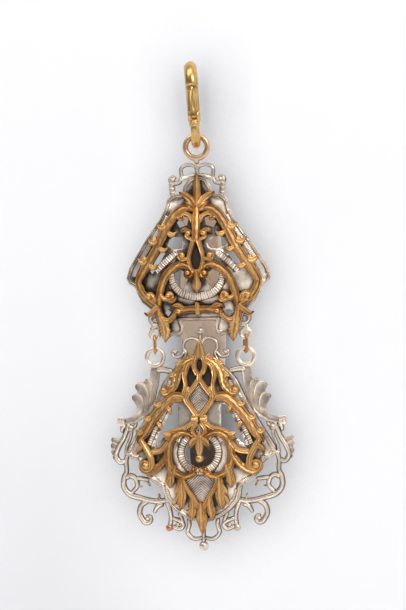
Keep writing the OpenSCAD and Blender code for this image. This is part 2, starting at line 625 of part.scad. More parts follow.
// Lower frame: scrolls of the right half, in a flat layer behind the plate
frame_scrolls = [
    // hidden base that follows the plate's edge and joins the rest
    [[[-0.1, -64.4, 0.8], [5.4, -66.2, 0.8], [10.4, -71.0, 0.8], [13.6, -77.6, 0.8],
      [18.4, -85.8, 0.8], [22.6, -92.6, 0.8]], [], []],
    [[[22.8, -92.2, 0.8], [18.6, -95.8, 0.7], [16.8, -99.2, 0.7], [12.0, -102.8, 0.7],
      [10.6, -107.4, 0.8], [6, -111.8, 0.8], [-0.1, -114.0, 0.8]], [], []],
    // small crest
    [[[0.5, -64.0, 0.5], [0.4, -59.8, 0.45], [2.4, -58.2, 0.45], [4.8, -59.2, 0.45],
      [5.2, -61.2, 0.45], [4.4, -63.0, 0.5], [5.6, -65.6, 0.6]], [], []],
    [[[4.8, -62.2, 0.45], [6.2, -63.9, 0.45], [7.9, -63.8, 0.45]], [], [1, 1.2, 0.5, 250]],
    // arm to the side ring, and the smooth inner panel of the shell
    [[[8.4, -68.6, 0.8], [11.4, -67.8, 0.8], [14.0, -67.9, 0.9]], [], []],
    [[[13.9, -67.2, 1.3], [14.3, -71.0, 1.4], [14.8, -75.2, 0.9], [15.9, -79.2, 1.0]], [], []],
    // three lobes of the shell, bent over to the outside
    [[[16.9, -70.9, 1.15], [16.0, -73.6, 1.1], [15.7, -76.4, 0.9], [16.6, -79.6, 1.0]], [], []],
    [[[20.2, -72.8, 1.0], [18.4, -73.4, 1.6], [17.3, -76.4, 1.1], [17.5, -80.0, 1.1]], [], []],
    [[[21.3, -76.1, 1.05], [19.7, -76.5, 1.5], [18.9, -79.0, 1.1], [19.2, -81.2, 1.1]], [], []],
    // neck of the shell and its block
    [[[16.6, -79.8, 1.1], [18.6, -81.2, 1.3], [20.8, -82.9, 1.1], [24.9, -83.5, 1.1]], [], []],
    // stem to the small shell at the side, and its five short lobes
    [[[22.6, -83.9, 0.8], [23.3, -86.4, 0.75], [24.3, -88.9, 0.75], [26.0, -91.6, 0.8],
      [26.7, -94.0, 0.8], [25.4, -95.9, 0.8], [23.6, -95.5, 0.75]], [], []],
    [[[25.4, -90.4, 0.8], [27.8, -88.9, 1.0]], [], []],
    [[[26.2, -91.6, 0.8], [28.0, -90.6, 1.0]], [], []],
    [[[26.6, -93.0, 0.8], [27.9, -92.7, 1.1]], [], []],
    [[[26.6, -94.2, 0.8], [27.2, -94.9, 1.0]], [], []],
    [[[24.6, -95.6, 0.8], [25.2, -96.4, 0.9]], [], []],
    // large scroll at the lower side
    [[[22.8, -92.6, 0.7], [23.6, -95.4, 0.7], [23.5, -98.6, 0.7], [24.3, -100.6, 0.8],
      [24.4, -103.4, 0.85], [22.6, -105.8, 0.85], [19.2, -107.0, 0.8], [14.6, -108.0, 0.8],
      [10.6, -107.6, 0.9]], [], []],
    [[[22.4, -105.6, 0.6], [20.4, -103.4, 0.65], [20.7, -101.1, 0.75], [22.3, -100.1, 0.8],
      [24.0, -101.0, 0.7]], [], []],
    [[[20.9, -100.9, 0.6], [18.8, -101.0, 0.65], [16.4, -101.4, 0.6]], [], []],
    // lower scroll with its hook
    [[[16.8, -107.8, 0.75], [19.0, -109.1, 0.8], [19.7, -111.6, 0.8], [18.5, -114.0, 0.75]],
     [], [-1, 1.45, 0.7, 260]],
    [[[12.2, -108.6, 0.9], [14.1, -109.6, 0.7], [15.3, -111.6, 0.45]], [], []],
    // arc to the bead, and the small shell beside it
    [[[12.2, -108.2, 0.65], [10.6, -110.8, 0.65], [10.0, -113.4, 0.65], [10.4, -115.8, 0.6]],
     [], []],
    [[[9.8, -113.2, 0.55], [7.6, -113.9, 0.65], [6.2, -115.2, 0.6], [7.4, -116.5, 0.6],
      [9.8, -115.6, 0.55]], [], []],
    [[[7.6, -111.4, 0.6], [6.8, -113.0, 0.6], [6.0, -115.2, 0.5]], [], []],
    // loops at the bottom
    [[[0.2, -119.2, 0.5], [3.0, -119.5, 0.55], [4.9, -117.6, 0.55], [4.4, -115.2, 0.6],
      [4.6, -113.2, 0.6]], [], []],
];
frame_axis_scrolls = [
    [[[0, -56.6, 0.6], [0, -60.2, 0.6]], [], []],
    [[[0, -113.6, 0.7], [0, -117.6, 0.6], [0, -121.4, 0.6]], [], []],
];
frame_beads = [[21.8, -85.6, 1.1], [10.5, -116.1, 1.1], [8.0, -115.2, 0.7]];
module frame_bead(b, y) {
    translate([b[X], y, b[Z]]) sphere(r = b[BEAD_R], $fn = 10);
}
module side_ring() {
    translate([link_x, foot_y - lower_y, side_ring_z])
        rotate([90, 0, 0])
            rotate_extrude($fn = 16)
                translate([side_mid_r, 0]) circle(r = side_wire_r, $fn = 6);
}
module lower_frame() {
    y0 = plate_t + seat + frame_t;
    mid = y0 - frame_t / 2;
    color(silver) lower_half() {
        pair() scrolls(frame_scrolls, no_dome, y0, frame_t - 0.5, 0.5);
        scrolls(frame_axis_scrolls, no_dome, y0, frame_t - 0.5, 0.5);
        pair()
            for (b = frame_beads)
                frame_bead(b, mid);
        frame_bead([0, -56.1, 1.25], mid);
        frame_bead([0, -121.7, 1.5], mid);
        pair() side_ring();
    }
}

snap_hook();
snap_gate();
gate_pin();
top_ring();
upper_plate();
upper_overlay();
belt_hook();
link_left();
link_right();
lower_plate();
lower_frame();
lower_overlay();
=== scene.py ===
"""Dresses the chatelaine: cast gilt scrollwork, silver frame, milled bands and mouldings, worn
metals, a pale stage and the camera. Tables are in millimetres from the top ring's centre, across
and up, as seen from the front, which faces -Y. New pieces are worked out on a grid with numpy."""

import math
from collections import namedtuple

import bmesh
import bpy
import numpy as np
from bpy.props import FloatProperty, FloatVectorProperty, PointerProperty
from mathutils import Matrix, Vector


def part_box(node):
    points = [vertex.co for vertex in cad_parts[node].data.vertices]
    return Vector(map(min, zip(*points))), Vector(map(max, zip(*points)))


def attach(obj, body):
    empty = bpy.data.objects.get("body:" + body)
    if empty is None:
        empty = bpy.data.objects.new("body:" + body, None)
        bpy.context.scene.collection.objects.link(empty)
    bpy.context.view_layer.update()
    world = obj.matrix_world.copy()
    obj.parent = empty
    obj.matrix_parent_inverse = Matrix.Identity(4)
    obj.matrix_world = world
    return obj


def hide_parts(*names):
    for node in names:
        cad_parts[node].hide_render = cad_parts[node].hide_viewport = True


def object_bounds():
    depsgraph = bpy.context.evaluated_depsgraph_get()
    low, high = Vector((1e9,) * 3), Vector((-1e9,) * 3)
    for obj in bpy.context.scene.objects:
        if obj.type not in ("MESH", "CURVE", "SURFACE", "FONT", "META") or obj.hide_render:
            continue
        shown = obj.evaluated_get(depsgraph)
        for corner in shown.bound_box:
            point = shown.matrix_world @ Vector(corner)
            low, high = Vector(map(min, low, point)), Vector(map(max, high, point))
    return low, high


bl_info = {
    "name": "Chatelaine",
    "version": (1, 0, 0),
    "blender": (4, 5, 0),
    "location": "View3D > Sidebar > Chatelaine",
    "description": "Silver and gilt chatelaine with cast scrollwork, milled bands and a snap hook",
    "category": "Object",
}

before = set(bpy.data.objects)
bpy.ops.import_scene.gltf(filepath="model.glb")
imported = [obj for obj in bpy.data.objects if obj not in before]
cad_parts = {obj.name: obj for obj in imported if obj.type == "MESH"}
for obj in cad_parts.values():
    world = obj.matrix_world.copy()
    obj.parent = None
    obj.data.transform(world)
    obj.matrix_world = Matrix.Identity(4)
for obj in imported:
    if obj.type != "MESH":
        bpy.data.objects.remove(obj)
CAD_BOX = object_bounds()

# Frame sizes, in millimetres
MM = 0.001
RING_LOW, RING_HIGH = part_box("top_ring")
AXIS_X = (RING_LOW.x + RING_HIGH.x) / 2 / MM
AXIS_Z = RING_HIGH.z / MM - (RING_HIGH.x - RING_LOW.x) / 2 / MM
PLATE_T = 0.8
LOWER_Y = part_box("lower_plate")[1].y / MM - PLATE_T
FRAME_BACK = LOWER_Y + 2.1
FRAME_T = 1.2
FOOT_Y = PLATE_T / 2

# A dome is a sphere's cap: height of its centre, its rise and the radius of its foot
Dome = namedtuple("Dome", "z rise foot")
UPPER_DOME = Dome(-36, 4.5, 21)
LOWER_DOME = Dome(-91, 3.4, 23)

# A curl goes on from the end of a scroll: side 1 turns left and -1 right, through turn degrees
Curl = namedtuple("Curl", "side first last turn")
# A scroll: its look, its stations (across, up, half width) and the curls at its start and end
Scroll = namedtuple("Scroll", "look stations start end")
# A bead: across, up, radius
Bead = namedtuple("Bead", "x z r")
# Angle past which an edge stays sharp
SHARP_ANGLE = math.radians(48)
# Steps between two stations, degrees between two points of a curl, the share by which a curl thins
SMOOTH_STEPS, CURL_STEP, CURL_THINS = 8, 9, 0.45


def scroll_of(look):
    """A maker of scrolls of one look, from their stations and a curl at the start or the end."""
    return lambda *stations, start=None, end=None: Scroll(look, stations, start, end)


reed, rail, leaf, petal, crocket, frond, blade = map(
    scroll_of, ("reed", "rail", "leaf", "petal", "crocket", "frond", "blade"))
wire, lobe, block, rope, milled, fine_milled, chevron = map(
    scroll_of, ("wire", "lobe", "block", "rope", "milled", "fine_milled", "chevron"))


def leaves(places, stations):
    """The same small leaf at several places: its stations are counted from each place."""
    return [crocket(*[(x + dx, z + dz, w) for dx, dz, w in stations]) for x, z in places]


UPPER_PAIRS = [
    # side leaves of the finial
    petal((0.6, -18.2, 0.8), (1.7, -16.2, 1.2), (3.3, -14.8, 1.05), (5.5, -13.7, 0.2)),
    petal((0.8, -18.8, 0.7), (2.2, -17.6, 0.8), (3.9, -16.4, 0.2)),
    # rail from the stem over the arch and out to the corner
    rail((0.8, -19.6, 0.7), (2.4, -18.6, 1), (4.6, -18.9, 1.25), (7, -21, 1.45),
        (9.5, -25.1, 1.45), (12.6, -31.3, 1.4), (16.2, -36.9, 1.4), (18.4, -40.4, 1.1)),
    reed((1.2, -23.4, 0.5), (1.7, -21.2, 0.75), (3.4, -20.2, 0.8), (4.8, -20.6, 0.8),
        end=Curl(-1, 0.9, 0.4, 230)),
    # leaves outside the rail
    *leaves([(9.5, -23.9), (12.2, -28.4), (15.6, -34.2)],
            [(0, 0, 0.7), (1, -0.5, 1.15), (2, -0.3, 0.75), (2.9, 0.8, 0.1)]),
    *leaves([(9.4, -24.6), (12.1, -29.1), (15.4, -34.9)],
            [(0.8, 1.8, 0.4), (0.9, 0.6, 0.8), (1.5, -0.4, 0.5), (2.3, -1, 0.1)]),
    # leaves inside the rail
    *leaves([(8.8, -25.9), (11.5, -30.6), (14.8, -35.8)],
            [(0, 0, 0.6), (-1, -0.7, 0.95), (-2, -0.6, 0.6), (-2.9, 0.2, 0.1)]),
    # curls beside the stem, and the leaves over them
    reed((0.9, -28.4, 0.6), (2.4, -27.7, 0.65), end=Curl(1, 1.2, 0.5, 270)),
    petal((1.6, -26, 0.6), (3, -25.3, 0.8), (4.2, -25.6, 0.6), (5, -26.4, 0.15)),
    reed((1.9, -34, 0.6), (4.1, -34.3, 0.7), end=Curl(1, 1.2, 0.5, 270)),
    # the stem's two branches round the lozenge
    reed((0.6, -28, 0.9), (1.5, -31, 0.75), (2.2, -34, 0.75), (1.6, -36.8, 0.75),
        (0.1, -38.6, 0.7)),
    # large scroll of the heart, down to the leg, and its inner curl
    rail((1.3, -38.4, 0.7), (1.8, -36.9, 0.9), (4.5, -35.8, 1.1), (7.6, -37.2, 1.25),
        (10, -40, 1.3), (11.3, -43.6, 1.25), (12, -46.4, 1.1), (12.2, -48.8, 1),
        start=Curl(1, 1.3, 0.6, 270)),
    reed((11.6, -44.2, 0.8), (10.7, -45.9, 0.9), (8.9, -46.3, 0.9), end=Curl(-1, 1.15, 0.5, 290)),
    petal((9.6, -46.2, 0.6), (8, -46.9, 0.8), (6.9, -46.2, 0.6), (6.5, -45, 0.15)),
    # from the corner down to the leg
    rail((17.6, -39.2, 1.1), (18.4, -41, 1.15), (17.6, -43.4, 1.2), (16.2, -45.4, 1.25),
        (14.4, -46.9, 1.2), (12.9, -48.3, 1.15), (11.9, -51.2, 1.2), (10.7, -54.6, 1.3)),
    leaf((11.7, -51.4, 1), (10.8, -54.4, 1.6), (10.4, -57, 1.35), (10.5, -59.4, 0.2)),
    reed((13, -47.4, 0.9), (13.8, -45.4, 0.9), end=Curl(-1, 1.4, 0.6, 300)),
    # ring of the leg
    reed((12.2, -49.6, 0.8), (11.5, -51.8, 1), (9.7, -52.9, 1), (7.9, -51.9, 0.9),
        (7, -50.4, 0.75)),
    # leaf outside the leg
    petal((12.4, -48.2, 0.9), (14.2, -49.9, 0.9), (15.7, -50.9, 0.7), (16.9, -50.3, 0.15)),
    # bar across the foot
    rail((0, -49.4, 1.15), (3, -49.5, 1.15), (5.8, -49.9, 1.2), (7.5, -50.8, 0.95)),
    petal((4.4, -49.2, 0.7), (5.8, -48.2, 0.9), (7.2, -48.3, 0.6), (8.2, -49.2, 0.15)),
]
UPPER_MIDDLE = [
    blade((0, -8, 0.15), (0, -9.6, 0.8), (0, -12.4, 1.15), (0, -15.2, 1.25), (0, -18, 1.3)),
    rail((0, -17, 1.2), (0, -19, 1.1), (0, -23, 1.35), (0, -26, 1.3), (0, -29.2, 1.5)),
    blade((0, -37.4, 1), (0, -40, 0.9), (0, -42.3, 1.5), (0, -44.6, 0.2)),
    reed((0, -47.2, 0.8), (0, -51.4, 0.8)),
]
UPPER_BEADS = [
    Bead(2.4, -26.4, 0.95), Bead(4.2, -33, 0.95), Bead(2.6, -38.4, 0.85), Bead(8.9, -45.1, 0.9),
    Bead(15.2, -45.2, 1), Bead(5.9, -50, 0.9), Bead(5.6, -21.6, 0.6), Bead(7.4, -45.7, 0.5),
]

LOWER_PAIRS = [
    # finial's two branches round the slot
    reed((0.6, -63, 1.1), (1.6, -65.4, 1), (1.5, -67.6, 0.9), (0.4, -69.6, 1)),
    # inner and outer lobes
    reed((1.4, -64.8, 0.9), (3.7, -66.2, 1.2), (4.6, -69.4, 1), (4.2, -72.6, 0.75),
        (4.8, -76, 1.2)),
    frond((2, -64.2, 0.9), (4.9, -65.8, 1.3), (6.9, -69, 1.5), (7.6, -72.4, 1.3),
        (9.6, -74.8, 0.95), end=Curl(1, 1.3, 0.5, 310)),
    # leaves of the lobes
    crocket((5.4, -65.4, 0.7), (6.7, -66, 0.7), (7.5, -65.7, 0.1)),
    crocket((7.6, -68.8, 0.7), (8.7, -69.6, 0.7), (9.5, -69.3, 0.1)),
    crocket((1.4, -64.8, 0.6), (2.5, -63.9, 0.7), (3.2, -62.8, 0.1)),
    crocket((3.2, -73, 0.3), (3.6, -74.6, 0.9), (3.9, -76.4, 0.9)),
    # lozenge
    reed((0.1, -70.6, 0.9), (2.1, -73.6, 0.9), (4.1, -76.4, 1), (2.3, -79.4, 0.95),
        (0.1, -82.4, 1)),
    # rail out to the corner
    rail((4.4, -76.4, 1.2), (7.6, -76, 1.6), (10.8, -78.4, 1.55), (14.3, -82.6, 1.55),
        (17.3, -87.4, 1.4), (19.4, -90, 0.5)),
    # leaves of the rail
    *leaves([(11.8, -77.8), (15, -82), (17.6, -86.2)],
            [(0, 0, 0.6), (0.9, -0.6, 1), (1.7, -0.5, 0.6), (2.3, 0.4, 0.1)]),
    *leaves([(10, -78.8), (13, -83.6)],
            [(0, 0, 0.5), (-0.7, -0.9, 0.8), (-1.2, -1.8, 0.4), (-0.9, -2.6, 0.1)]),
    # scroll at the corner
    reed((18.6, -88.4, 0.9), (16.8, -91.4, 1.05), (15.3, -94.2, 1.15), (14.9, -96.6, 1.1),
        end=Curl(1, 2, 0.7, 400)),
    # tie between heart and corner scroll
    reed((9.4, -89.4, 0.9), (11.8, -92.2, 1), (15.4, -92.8, 1)),
    frond((10, -93.4, 0.8), (12.4, -96.8, 1.1), (15.6, -99, 0.9), (17, -98.8, 0.3)),
    petal((17.4, -90.6, 0.8), (18.9, -91.9, 0.8), (19.6, -93.4, 0.15)),
    # tie under the lozenge and the small lozenge below
    reed((0, -82.8, 1.6), (1.5, -82.8, 1.6), (2.8, -82.8, 1.45)),
    reed((1.8, -83.8, 0.8), (4.2, -85.4, 0.8), (7.2, -86.1, 0.75), (10.2, -87.2, 0.3)),
    reed((0.4, -83.8, 0.7), (2, -86.2, 0.8), (0.5, -88.9, 0.7)),
    # heart
    rail((1.2, -89.8, 0.6), (2.4, -87.9, 0.85), (5.4, -86.9, 1.1), (8.5, -88.7, 1.25),
        (9.7, -92.4, 1.3), (9.4, -96.4, 1.25), (7.4, -99.3, 1.1), (4.2, -100.2, 0.95),
        (1.4, -98.6, 0.7), end=Curl(-1, 0.8, 0.5, 150)),
    petal((0.3, -88.8, 0.7), (1.8, -89.4, 1.2), (3, -91.4, 0.4)),
    petal((9, -88.8, 0.7), (10.4, -88.4, 0.7), (11.4, -89, 0.15)),
    crocket((8.6, -87.4, 0.6), (10, -87.3, 0.8), (11.4, -86.6, 0.15)),
    # kite and its fronds
    reed((1, -99.2, 0.6), (3.2, -100.2, 0.75), (5.3, -101.2, 0.8), (4.2, -103.9, 0.8),
        (2.2, -107.2, 0.85), (0.6, -110.2, 0.9)),
    frond((8, -96.6, 0.9), (9, -99.4, 1.25), (9.4, -101.8, 1.35), (9.3, -103.8, 0.35)),
    frond((5.9, -100.6, 0.8), (6, -103.6, 1.4), (6, -106.4, 1.55), (6.2, -108.8, 1.1),
        (6.5, -110.4, 0.25)),
    frond((2.6, -105.8, 0.6), (2.7, -108.6, 1.15), (3, -111.2, 1.35), (3.3, -113.8, 0.3)),
    crocket((6.9, -103.2, 0.4), (7.7, -104.6, 0.6), (7.9, -105.8, 0.1)),
    crocket((7.3, -106.2, 0.4), (8, -107.6, 0.6), (8.2, -109, 0.1)),
]
LOWER_MIDDLE = [
    crocket((0, -58.4, 0.15), (0, -60.2, 0.9), (0, -62.4, 1.6), (0, -64.2, 1.7)),
    reed((0, -68.8, 1), (0, -72.2, 0.9)),
    crocket((0, -86.6, 0.5), (0, -88.6, 0.9), (0, -91.2, 1.2), (0, -93.8, 0.6)),
    frond((0, -108.2, 0.8), (0, -111, 1.55), (0, -114.4, 1.6), (0, -118, 0.2)),
]
LOWER_BEADS = [Bead(10.9, -74.2, 1.1), Bead(16.9, -97, 1.2), Bead(0.6, -98.4, 0.7)]
LOWER_MIDDLE_BEADS = [Bead(0, -94.8, 1.2)]

# Silver frame behind the lower plate, right half
FRAME_PAIRS = [
    # hidden base that follows the plate's edge and joins the rest
    wire((0, -64.4, 0.8), (5.4, -66.2, 0.8), (10.4, -71, 0.8), (13.6, -77.6, 0.8),
        (18.4, -85.8, 0.8), (22.6, -92.6, 0.8)),
    wire((22.8, -92.2, 0.8), (18.6, -95.8, 0.7), (16.8, -99.2, 0.7), (12, -102.8, 0.7),
        (10.6, -107.4, 0.8), (6, -111.8, 0.8), (0, -114, 0.8)),
    # small crest
    wire((0.5, -64, 0.5), (0.4, -59.8, 0.5), (2.4, -58.2, 0.5), (4.8, -59.2, 0.5),
        (5.2, -61.2, 0.5), (4.4, -63, 0.5), (5.6, -65.6, 0.6)),
    wire((4.8, -62.2, 0.5), (6.2, -63.9, 0.5), (7.9, -63.8, 0.5), end=Curl(1, 1.2, 0.5, 270)),
    # arm to the side ring, and the smooth inner panel of the shell
    wire((8.4, -68.6, 0.9), (11.4, -67.8, 0.95), (14, -67.9, 1.1)),
    lobe((13.9, -66.6, 1.4), (14.3, -71, 1.45), (14.8, -75.2, 1), (15.9, -79.2, 1)),
    # three lobes of the shell, bent over to the outside
    lobe((17.2, -70.7, 1.05), (16.3, -72.6, 1.3), (15.8, -76.4, 1), (16.6, -79.8, 1)),
    lobe((20.4, -72.7, 1.05), (18.4, -73.4, 1.7), (17.3, -76.4, 1.25), (17.6, -80.2, 1.1)),
    lobe((21.5, -76.1, 1.1), (19.7, -76.5, 1.6), (18.8, -79, 1.2), (19.4, -81.6, 1.1)),
    # neck of the shell and its block
    lobe((16.2, -79, 0.8), (17.2, -80.3, 1.2), (18.8, -81.4, 1.3), (20.8, -82.9, 1.1),
        (23.8, -83.6, 0.9)),
    block((23.8, -83.6, 1.35), (26, -83.5, 1.35)),
    # leaves where the neck bends into the stem
    wire((20.4, -83.4, 0.5), (20.6, -84.8, 0.6), (21.6, -85.6, 0.6)),
    wire((23.4, -84.6, 0.6), (24.6, -85.6, 0.7), (24.6, -87, 0.4)),
    # stems to the small shell at the side, and its five short lobes
    wire((22.4, -83.9, 0.8), (23.3, -86.4, 0.8), (24.4, -88.9, 0.8), (26, -91.6, 0.85),
        (26.7, -94, 0.85), (25.4, -95.9, 0.85), (23.6, -95.5, 0.8)),
    wire((21.6, -85.6, 0.5), (22.1, -88.4, 0.5), (23.3, -91.2, 0.5), (23.6, -93.8, 0.6)),
    lobe((28.1, -88.7, 0.95), (26.4, -89.4, 1.1), (25, -90.4, 0.8)),
    lobe((28.3, -90.5, 1.1), (27, -91, 1.1), (26, -91.8, 0.8)),
    lobe((28.2, -92.7, 1.2), (27.2, -92.8, 1.2), (26.4, -93, 0.8)),
    lobe((27.5, -95, 1.1), (27, -94.5, 1.2), (26.4, -94, 0.8)),
    lobe((25.2, -96.6, 0.9), (25.2, -96, 1.1), (25, -95.2, 0.7)),
    # large scroll at the lower side
    wire((22.8, -92.6, 0.75), (23.6, -95.4, 0.75), (23.5, -98.6, 0.75), (24.3, -100.6, 0.85),
        (24.4, -103.4, 0.9), (22.6, -105.8, 0.95), (19.2, -107, 0.9), (14.6, -108, 0.9),
        (10.6, -107.6, 0.9)),
    wire((22.4, -105.6, 0.65), (20.4, -103.4, 0.7), (20.7, -101.1, 0.8), (22.3, -100.1, 0.85),
        (24, -101, 0.75)),
    wire((20.9, -100.9, 0.65), (18.8, -101, 0.75), (16.4, -101.4, 0.65)),
    petal((20.6, -103, 0.6), (19.6, -103.5, 0.5), (18.7, -103.3, 0.2)),
    petal((18, -101, 0.5), (16.9, -102.4, 0.5), (16.2, -103.4, 0.2)),
    petal((14.2, -107.6, 0.5), (13.4, -106.6, 0.5), (13.7, -105.6, 0.2)),
    # lower scroll with its hook
    wire((16.8, -107.8, 0.8), (19, -109.1, 0.85), (19.7, -111.6, 0.85),
        (18.5, -114, 0.85), end=Curl(-1, 1.45, 0.7, 280)),
    wire((12.2, -108.6, 0.95), (14.1, -109.6, 0.8), (15.3, -111.7, 0.5)),
    # arc to the bead, and the small shell beside it
    wire((11.4, -107.8, 0.75), (10.3, -110.6, 0.7), (10, -113.2, 0.7), (10.4, -115.8, 0.7)),
    wire((9.8, -113.2, 0.65), (7.6, -113.9, 0.75), (6.2, -115.2, 0.7), (7.4, -116.5, 0.7),
        (9.8, -115.6, 0.65)),
    wire((7.6, -111.4, 0.6), (6.8, -113, 0.6), (6, -115.2, 0.5)),
    # loops at the bottom
    wire((0.2, -119.2, 0.6), (3, -119.5, 0.65), (4.9, -117.6, 0.65), (4.4, -115.2, 0.7),
        (4.6, -113.2, 0.7)),
]
FRAME_MIDDLE = [
    wire((0, -56.6, 0.6), (0, -60.2, 0.6)),
    wire((0, -113.6, 0.7), (0, -117.6, 0.65), (0, -121.4, 0.65)),
]
FRAME_BEADS = [Bead(21.8, -85.6, 1.2), Bead(8, -115.2, 0.75), Bead(7.9, -62.6, 0.7)]
FRAME_MIDDLE_BEADS = [Bead(0, -56.1, 1.3), Bead(0, -121.7, 1.5)]
COPPER_BEAD = Bead(10.5, -116.1, 1.15)
SIDE_RING = Bead(14, -64, 2.575)
SIDE_RING_WIRE = 0.745
FOOT_LOOP = Bead(14, -57, 1.45)
FOOT_LOOP_WIRE = 0.56

# Crest over the upper plate and scrolls beside its feet, right half
TRIM_PAIRS = [
    wire((0.1, -8.6, 0.55), (0.3, -6.4, 0.5), (1.5, -5.5, 0.5), (3.6, -5.5, 0.55),
        (4.9, -6.5, 0.55), (4.9, -8.2, 0.55), (4.5, -10.2, 0.65)),
    rope((0, -8.5, 0.7), (2.4, -8.9, 0.7), (5, -9.6, 0.7)),
    wire((4.8, -9.2, 0.6), (5.6, -10.7, 0.65), (7.2, -11, 0.7), end=Curl(1, 1.2, 0.6, 270)),
    wire((7.8, -10.4, 0.6), (7.7, -12.8, 0.6), (7.3, -15.4, 0.7)),
    wire((12.6, -50.6, 0.6), (14.3, -50.7, 0.6), (15.3, -52, 0.65), (14.6, -53.6, 0.6),
        (12.6, -53.8, 0.6)),
    wire((12, -54.6, 0.6), (13.6, -54.5, 0.6), (15.2, -55.5, 0.6)),
]
TRIM_BEADS = [
    Bead(7.9, -10, 0.95), Bead(7.9, -11.4, 1), Bead(7.85, -12.8, 1), Bead(7.7, -14.1, 0.98),
    Bead(7.5, -15.3, 0.9), Bead(2.5, -9.1, 0.68), Bead(13.7, -52.2, 0.8), Bead(14.4, -54.6, 0.7),
    Bead(12.6, -50.2, 0.8),
]
TRIM_MIDDLE_BEADS = [Bead(0, -5.9, 0.97)]

# Outlines of the plates, right half from the top down, and their milled bands
UPPER_EDGE = [(0, -8.8), (2.6, -9.6), (4.2, -12), (4.7, -14.2), (7.3, -14.3), (9.3, -16),
              (9.9, -18.6), (11.5, -22), (15.6, -27.6), (21.4, -36.6), (22.3, -39.7),
              (21.5, -41.5), (19.5, -42.6), (18.9, -44.6), (17.6, -47.2), (14.4, -49.6),
              (13.2, -52.5), (12.4, -55.5), (11.2, -57.8), (9.6, -58.2), (8.4, -57.2),
              (6.6, -57.8), (5, -56.6), (4.7, -54.6), (5.3, -53), (0, -53)]
LOWER_EDGE = [(0, -63.8), (3.2, -64.4), (5.6, -65.6), (7.8, -67.4), (10.4, -70),
              (11.5, -72.6), (13.4, -76.2), (16.8, -81.8), (20.2, -87.6), (23.2, -93.2),
              (21.6, -94.8), (19.3, -95.2), (18.7, -97.8), (16.9, -99.9), (14.6, -102.2),
              (12.2, -103.4), (11.8, -105.6), (10.9, -108), (8.5, -110.6), (6, -112.4),
              (3.9, -113.6), (0, -114.6)]
UPPER_BANDS = [
    milled((6.3, -32.2, 1), (9.5, -34.9, 1.1), (12.6, -37.8, 1)),
    fine_milled((9.4, -20.8, 0.6), (13.7, -27.9, 0.8), (19.1, -36.8, 0.8), (20, -39.2, 0.6)),
]
UPPER_SWAG = [
    milled((7.9, -38.6, 0.85), (7.2, -41.8, 1.15), (4.6, -44.6, 1.25), (0, -45.7, 1.3),
        (-4.6, -44.6, 1.25), (-7.2, -41.8, 1.15), (-7.9, -38.6, 0.85)),
]
LOWER_BANDS = [
    milled((8.6, -77.4, 0.75), (11.2, -81.2, 0.85), (13.6, -85.6, 0.85), (15.8, -90.6, 0.75)),
    milled((1, -85.6, 0.7), (4.6, -86.2, 0.8), (7, -89.6, 0.8)),
    fine_milled((9.2, -71.2, 0.7), (11.8, -76.9, 0.9), (15.2, -82.6, 0.9), (18.6, -88.4, 0.9),
        (21, -92.4, 0.7)),
    fine_milled((10.8, -104.2, 0.6), (10, -107.2, 0.8), (7.8, -109.6, 0.8), (5, -111.4, 0.7)),
]
# Milled panels on the axis of the lower plate: two lozenges and a kite
LOWER_PANELS = [
    chevron((0, -71.4, 0.3), (0, -74, 2.1), (0, -76.8, 3.6), (0, -79, 2.2), (0, -81.8, 0.3)),
    chevron((0, -84, 0.2), (0, -86.2, 1.5), (0, -88.6, 0.2)),
    chevron((0, -100, 2.2), (0, -101.8, 4.3), (0, -104.6, 3), (0, -109.4, 0.3)),
]
# Milled ring round the lower plate's opening, and its half width
OPENING_RING, OPENING_BAND = Bead(0, -93, 5.75), 1.1
# Patches of painted shadow: places in the scrollwork where the plate under it is darkened as if
# covered
UPPER_PAINTED_SHADOWS = [
    wire((0, -31.6, 0.6), (0, -34.2, 1.6), (0, -36.6, 0.4)),
    wire((0, -38.6, 2.4), (0, -43.2, 2.4)),
    wire((4.4, -22.4, 1.2), (5.4, -24.4, 1.2)),
]
LOWER_PAINTED_SHADOWS = [
    wire((0.7, -64.8, 0.6), (0.5, -68, 0.6)),
    wire((2.9, -68.4, 0.7), (2.9, -72.4, 0.7)),
    wire((5.6, -71.2, 0.7), (5.9, -75, 0.7)),
    wire((7.4, -99.6, 0.7), (7.6, -103.2, 0.6)),
    wire((0, -106, 1), (0, -108.6, 0.7)),
    wire((3.8, -105.8, 0.5), (4.2, -109.4, 0.5)),
    wire((11, -96.2, 0.5), (12.4, -98.6, 0.5)),
    wire((12.6, -93.4, 1), (13.6, -95.4, 0.8)),
]


def smooth(stations):
    """Catmull-Rom curve: between two stations each column follows the cubic of its four
    neighbours, in SMOOTH_STEPS steps."""
    p = np.asarray(stations, float)
    padded = np.vstack([p[:1], p, p[-1:]])
    a, b, c, d = (padded[k : len(p) - 1 + k, None, :] for k in range(4))
    t = (np.arange(SMOOTH_STEPS) / SMOOTH_STEPS)[None, :, None]
    rise = t * (c - a) + t**2 * (2 * a - 5 * b + 4 * c - d) + t**3 * (3 * b - a - 3 * c + d)
    return np.vstack([(b + rise / 2).reshape(-1, p.shape[1]), p[-1:]])


def curl_path(before, end, curl):
    """Spiral that goes on from end: its radius runs evenly from first to last as its angle turns,
    and its half width falls by CURL_THINS. Also gives the spiral's centre."""
    heading = math.atan2(end[1] - before[1], end[0] - before[0])
    to_centre = heading + curl.side * math.pi / 2
    centre = np.array(end[:2]) + curl.first * np.array([math.cos(to_centre), math.sin(to_centre)])
    t = np.linspace(0, 1, int(curl.turn / CURL_STEP) + 2)[1:, None]
    radius = curl.first + t * (curl.last - curl.first)
    angle = to_centre + math.pi + curl.side * math.radians(curl.turn) * t
    spiral = centre + radius * np.hstack([np.cos(angle), np.sin(angle)])
    return np.hstack([spiral, end[2] * (1 - CURL_THINS * t)]), centre


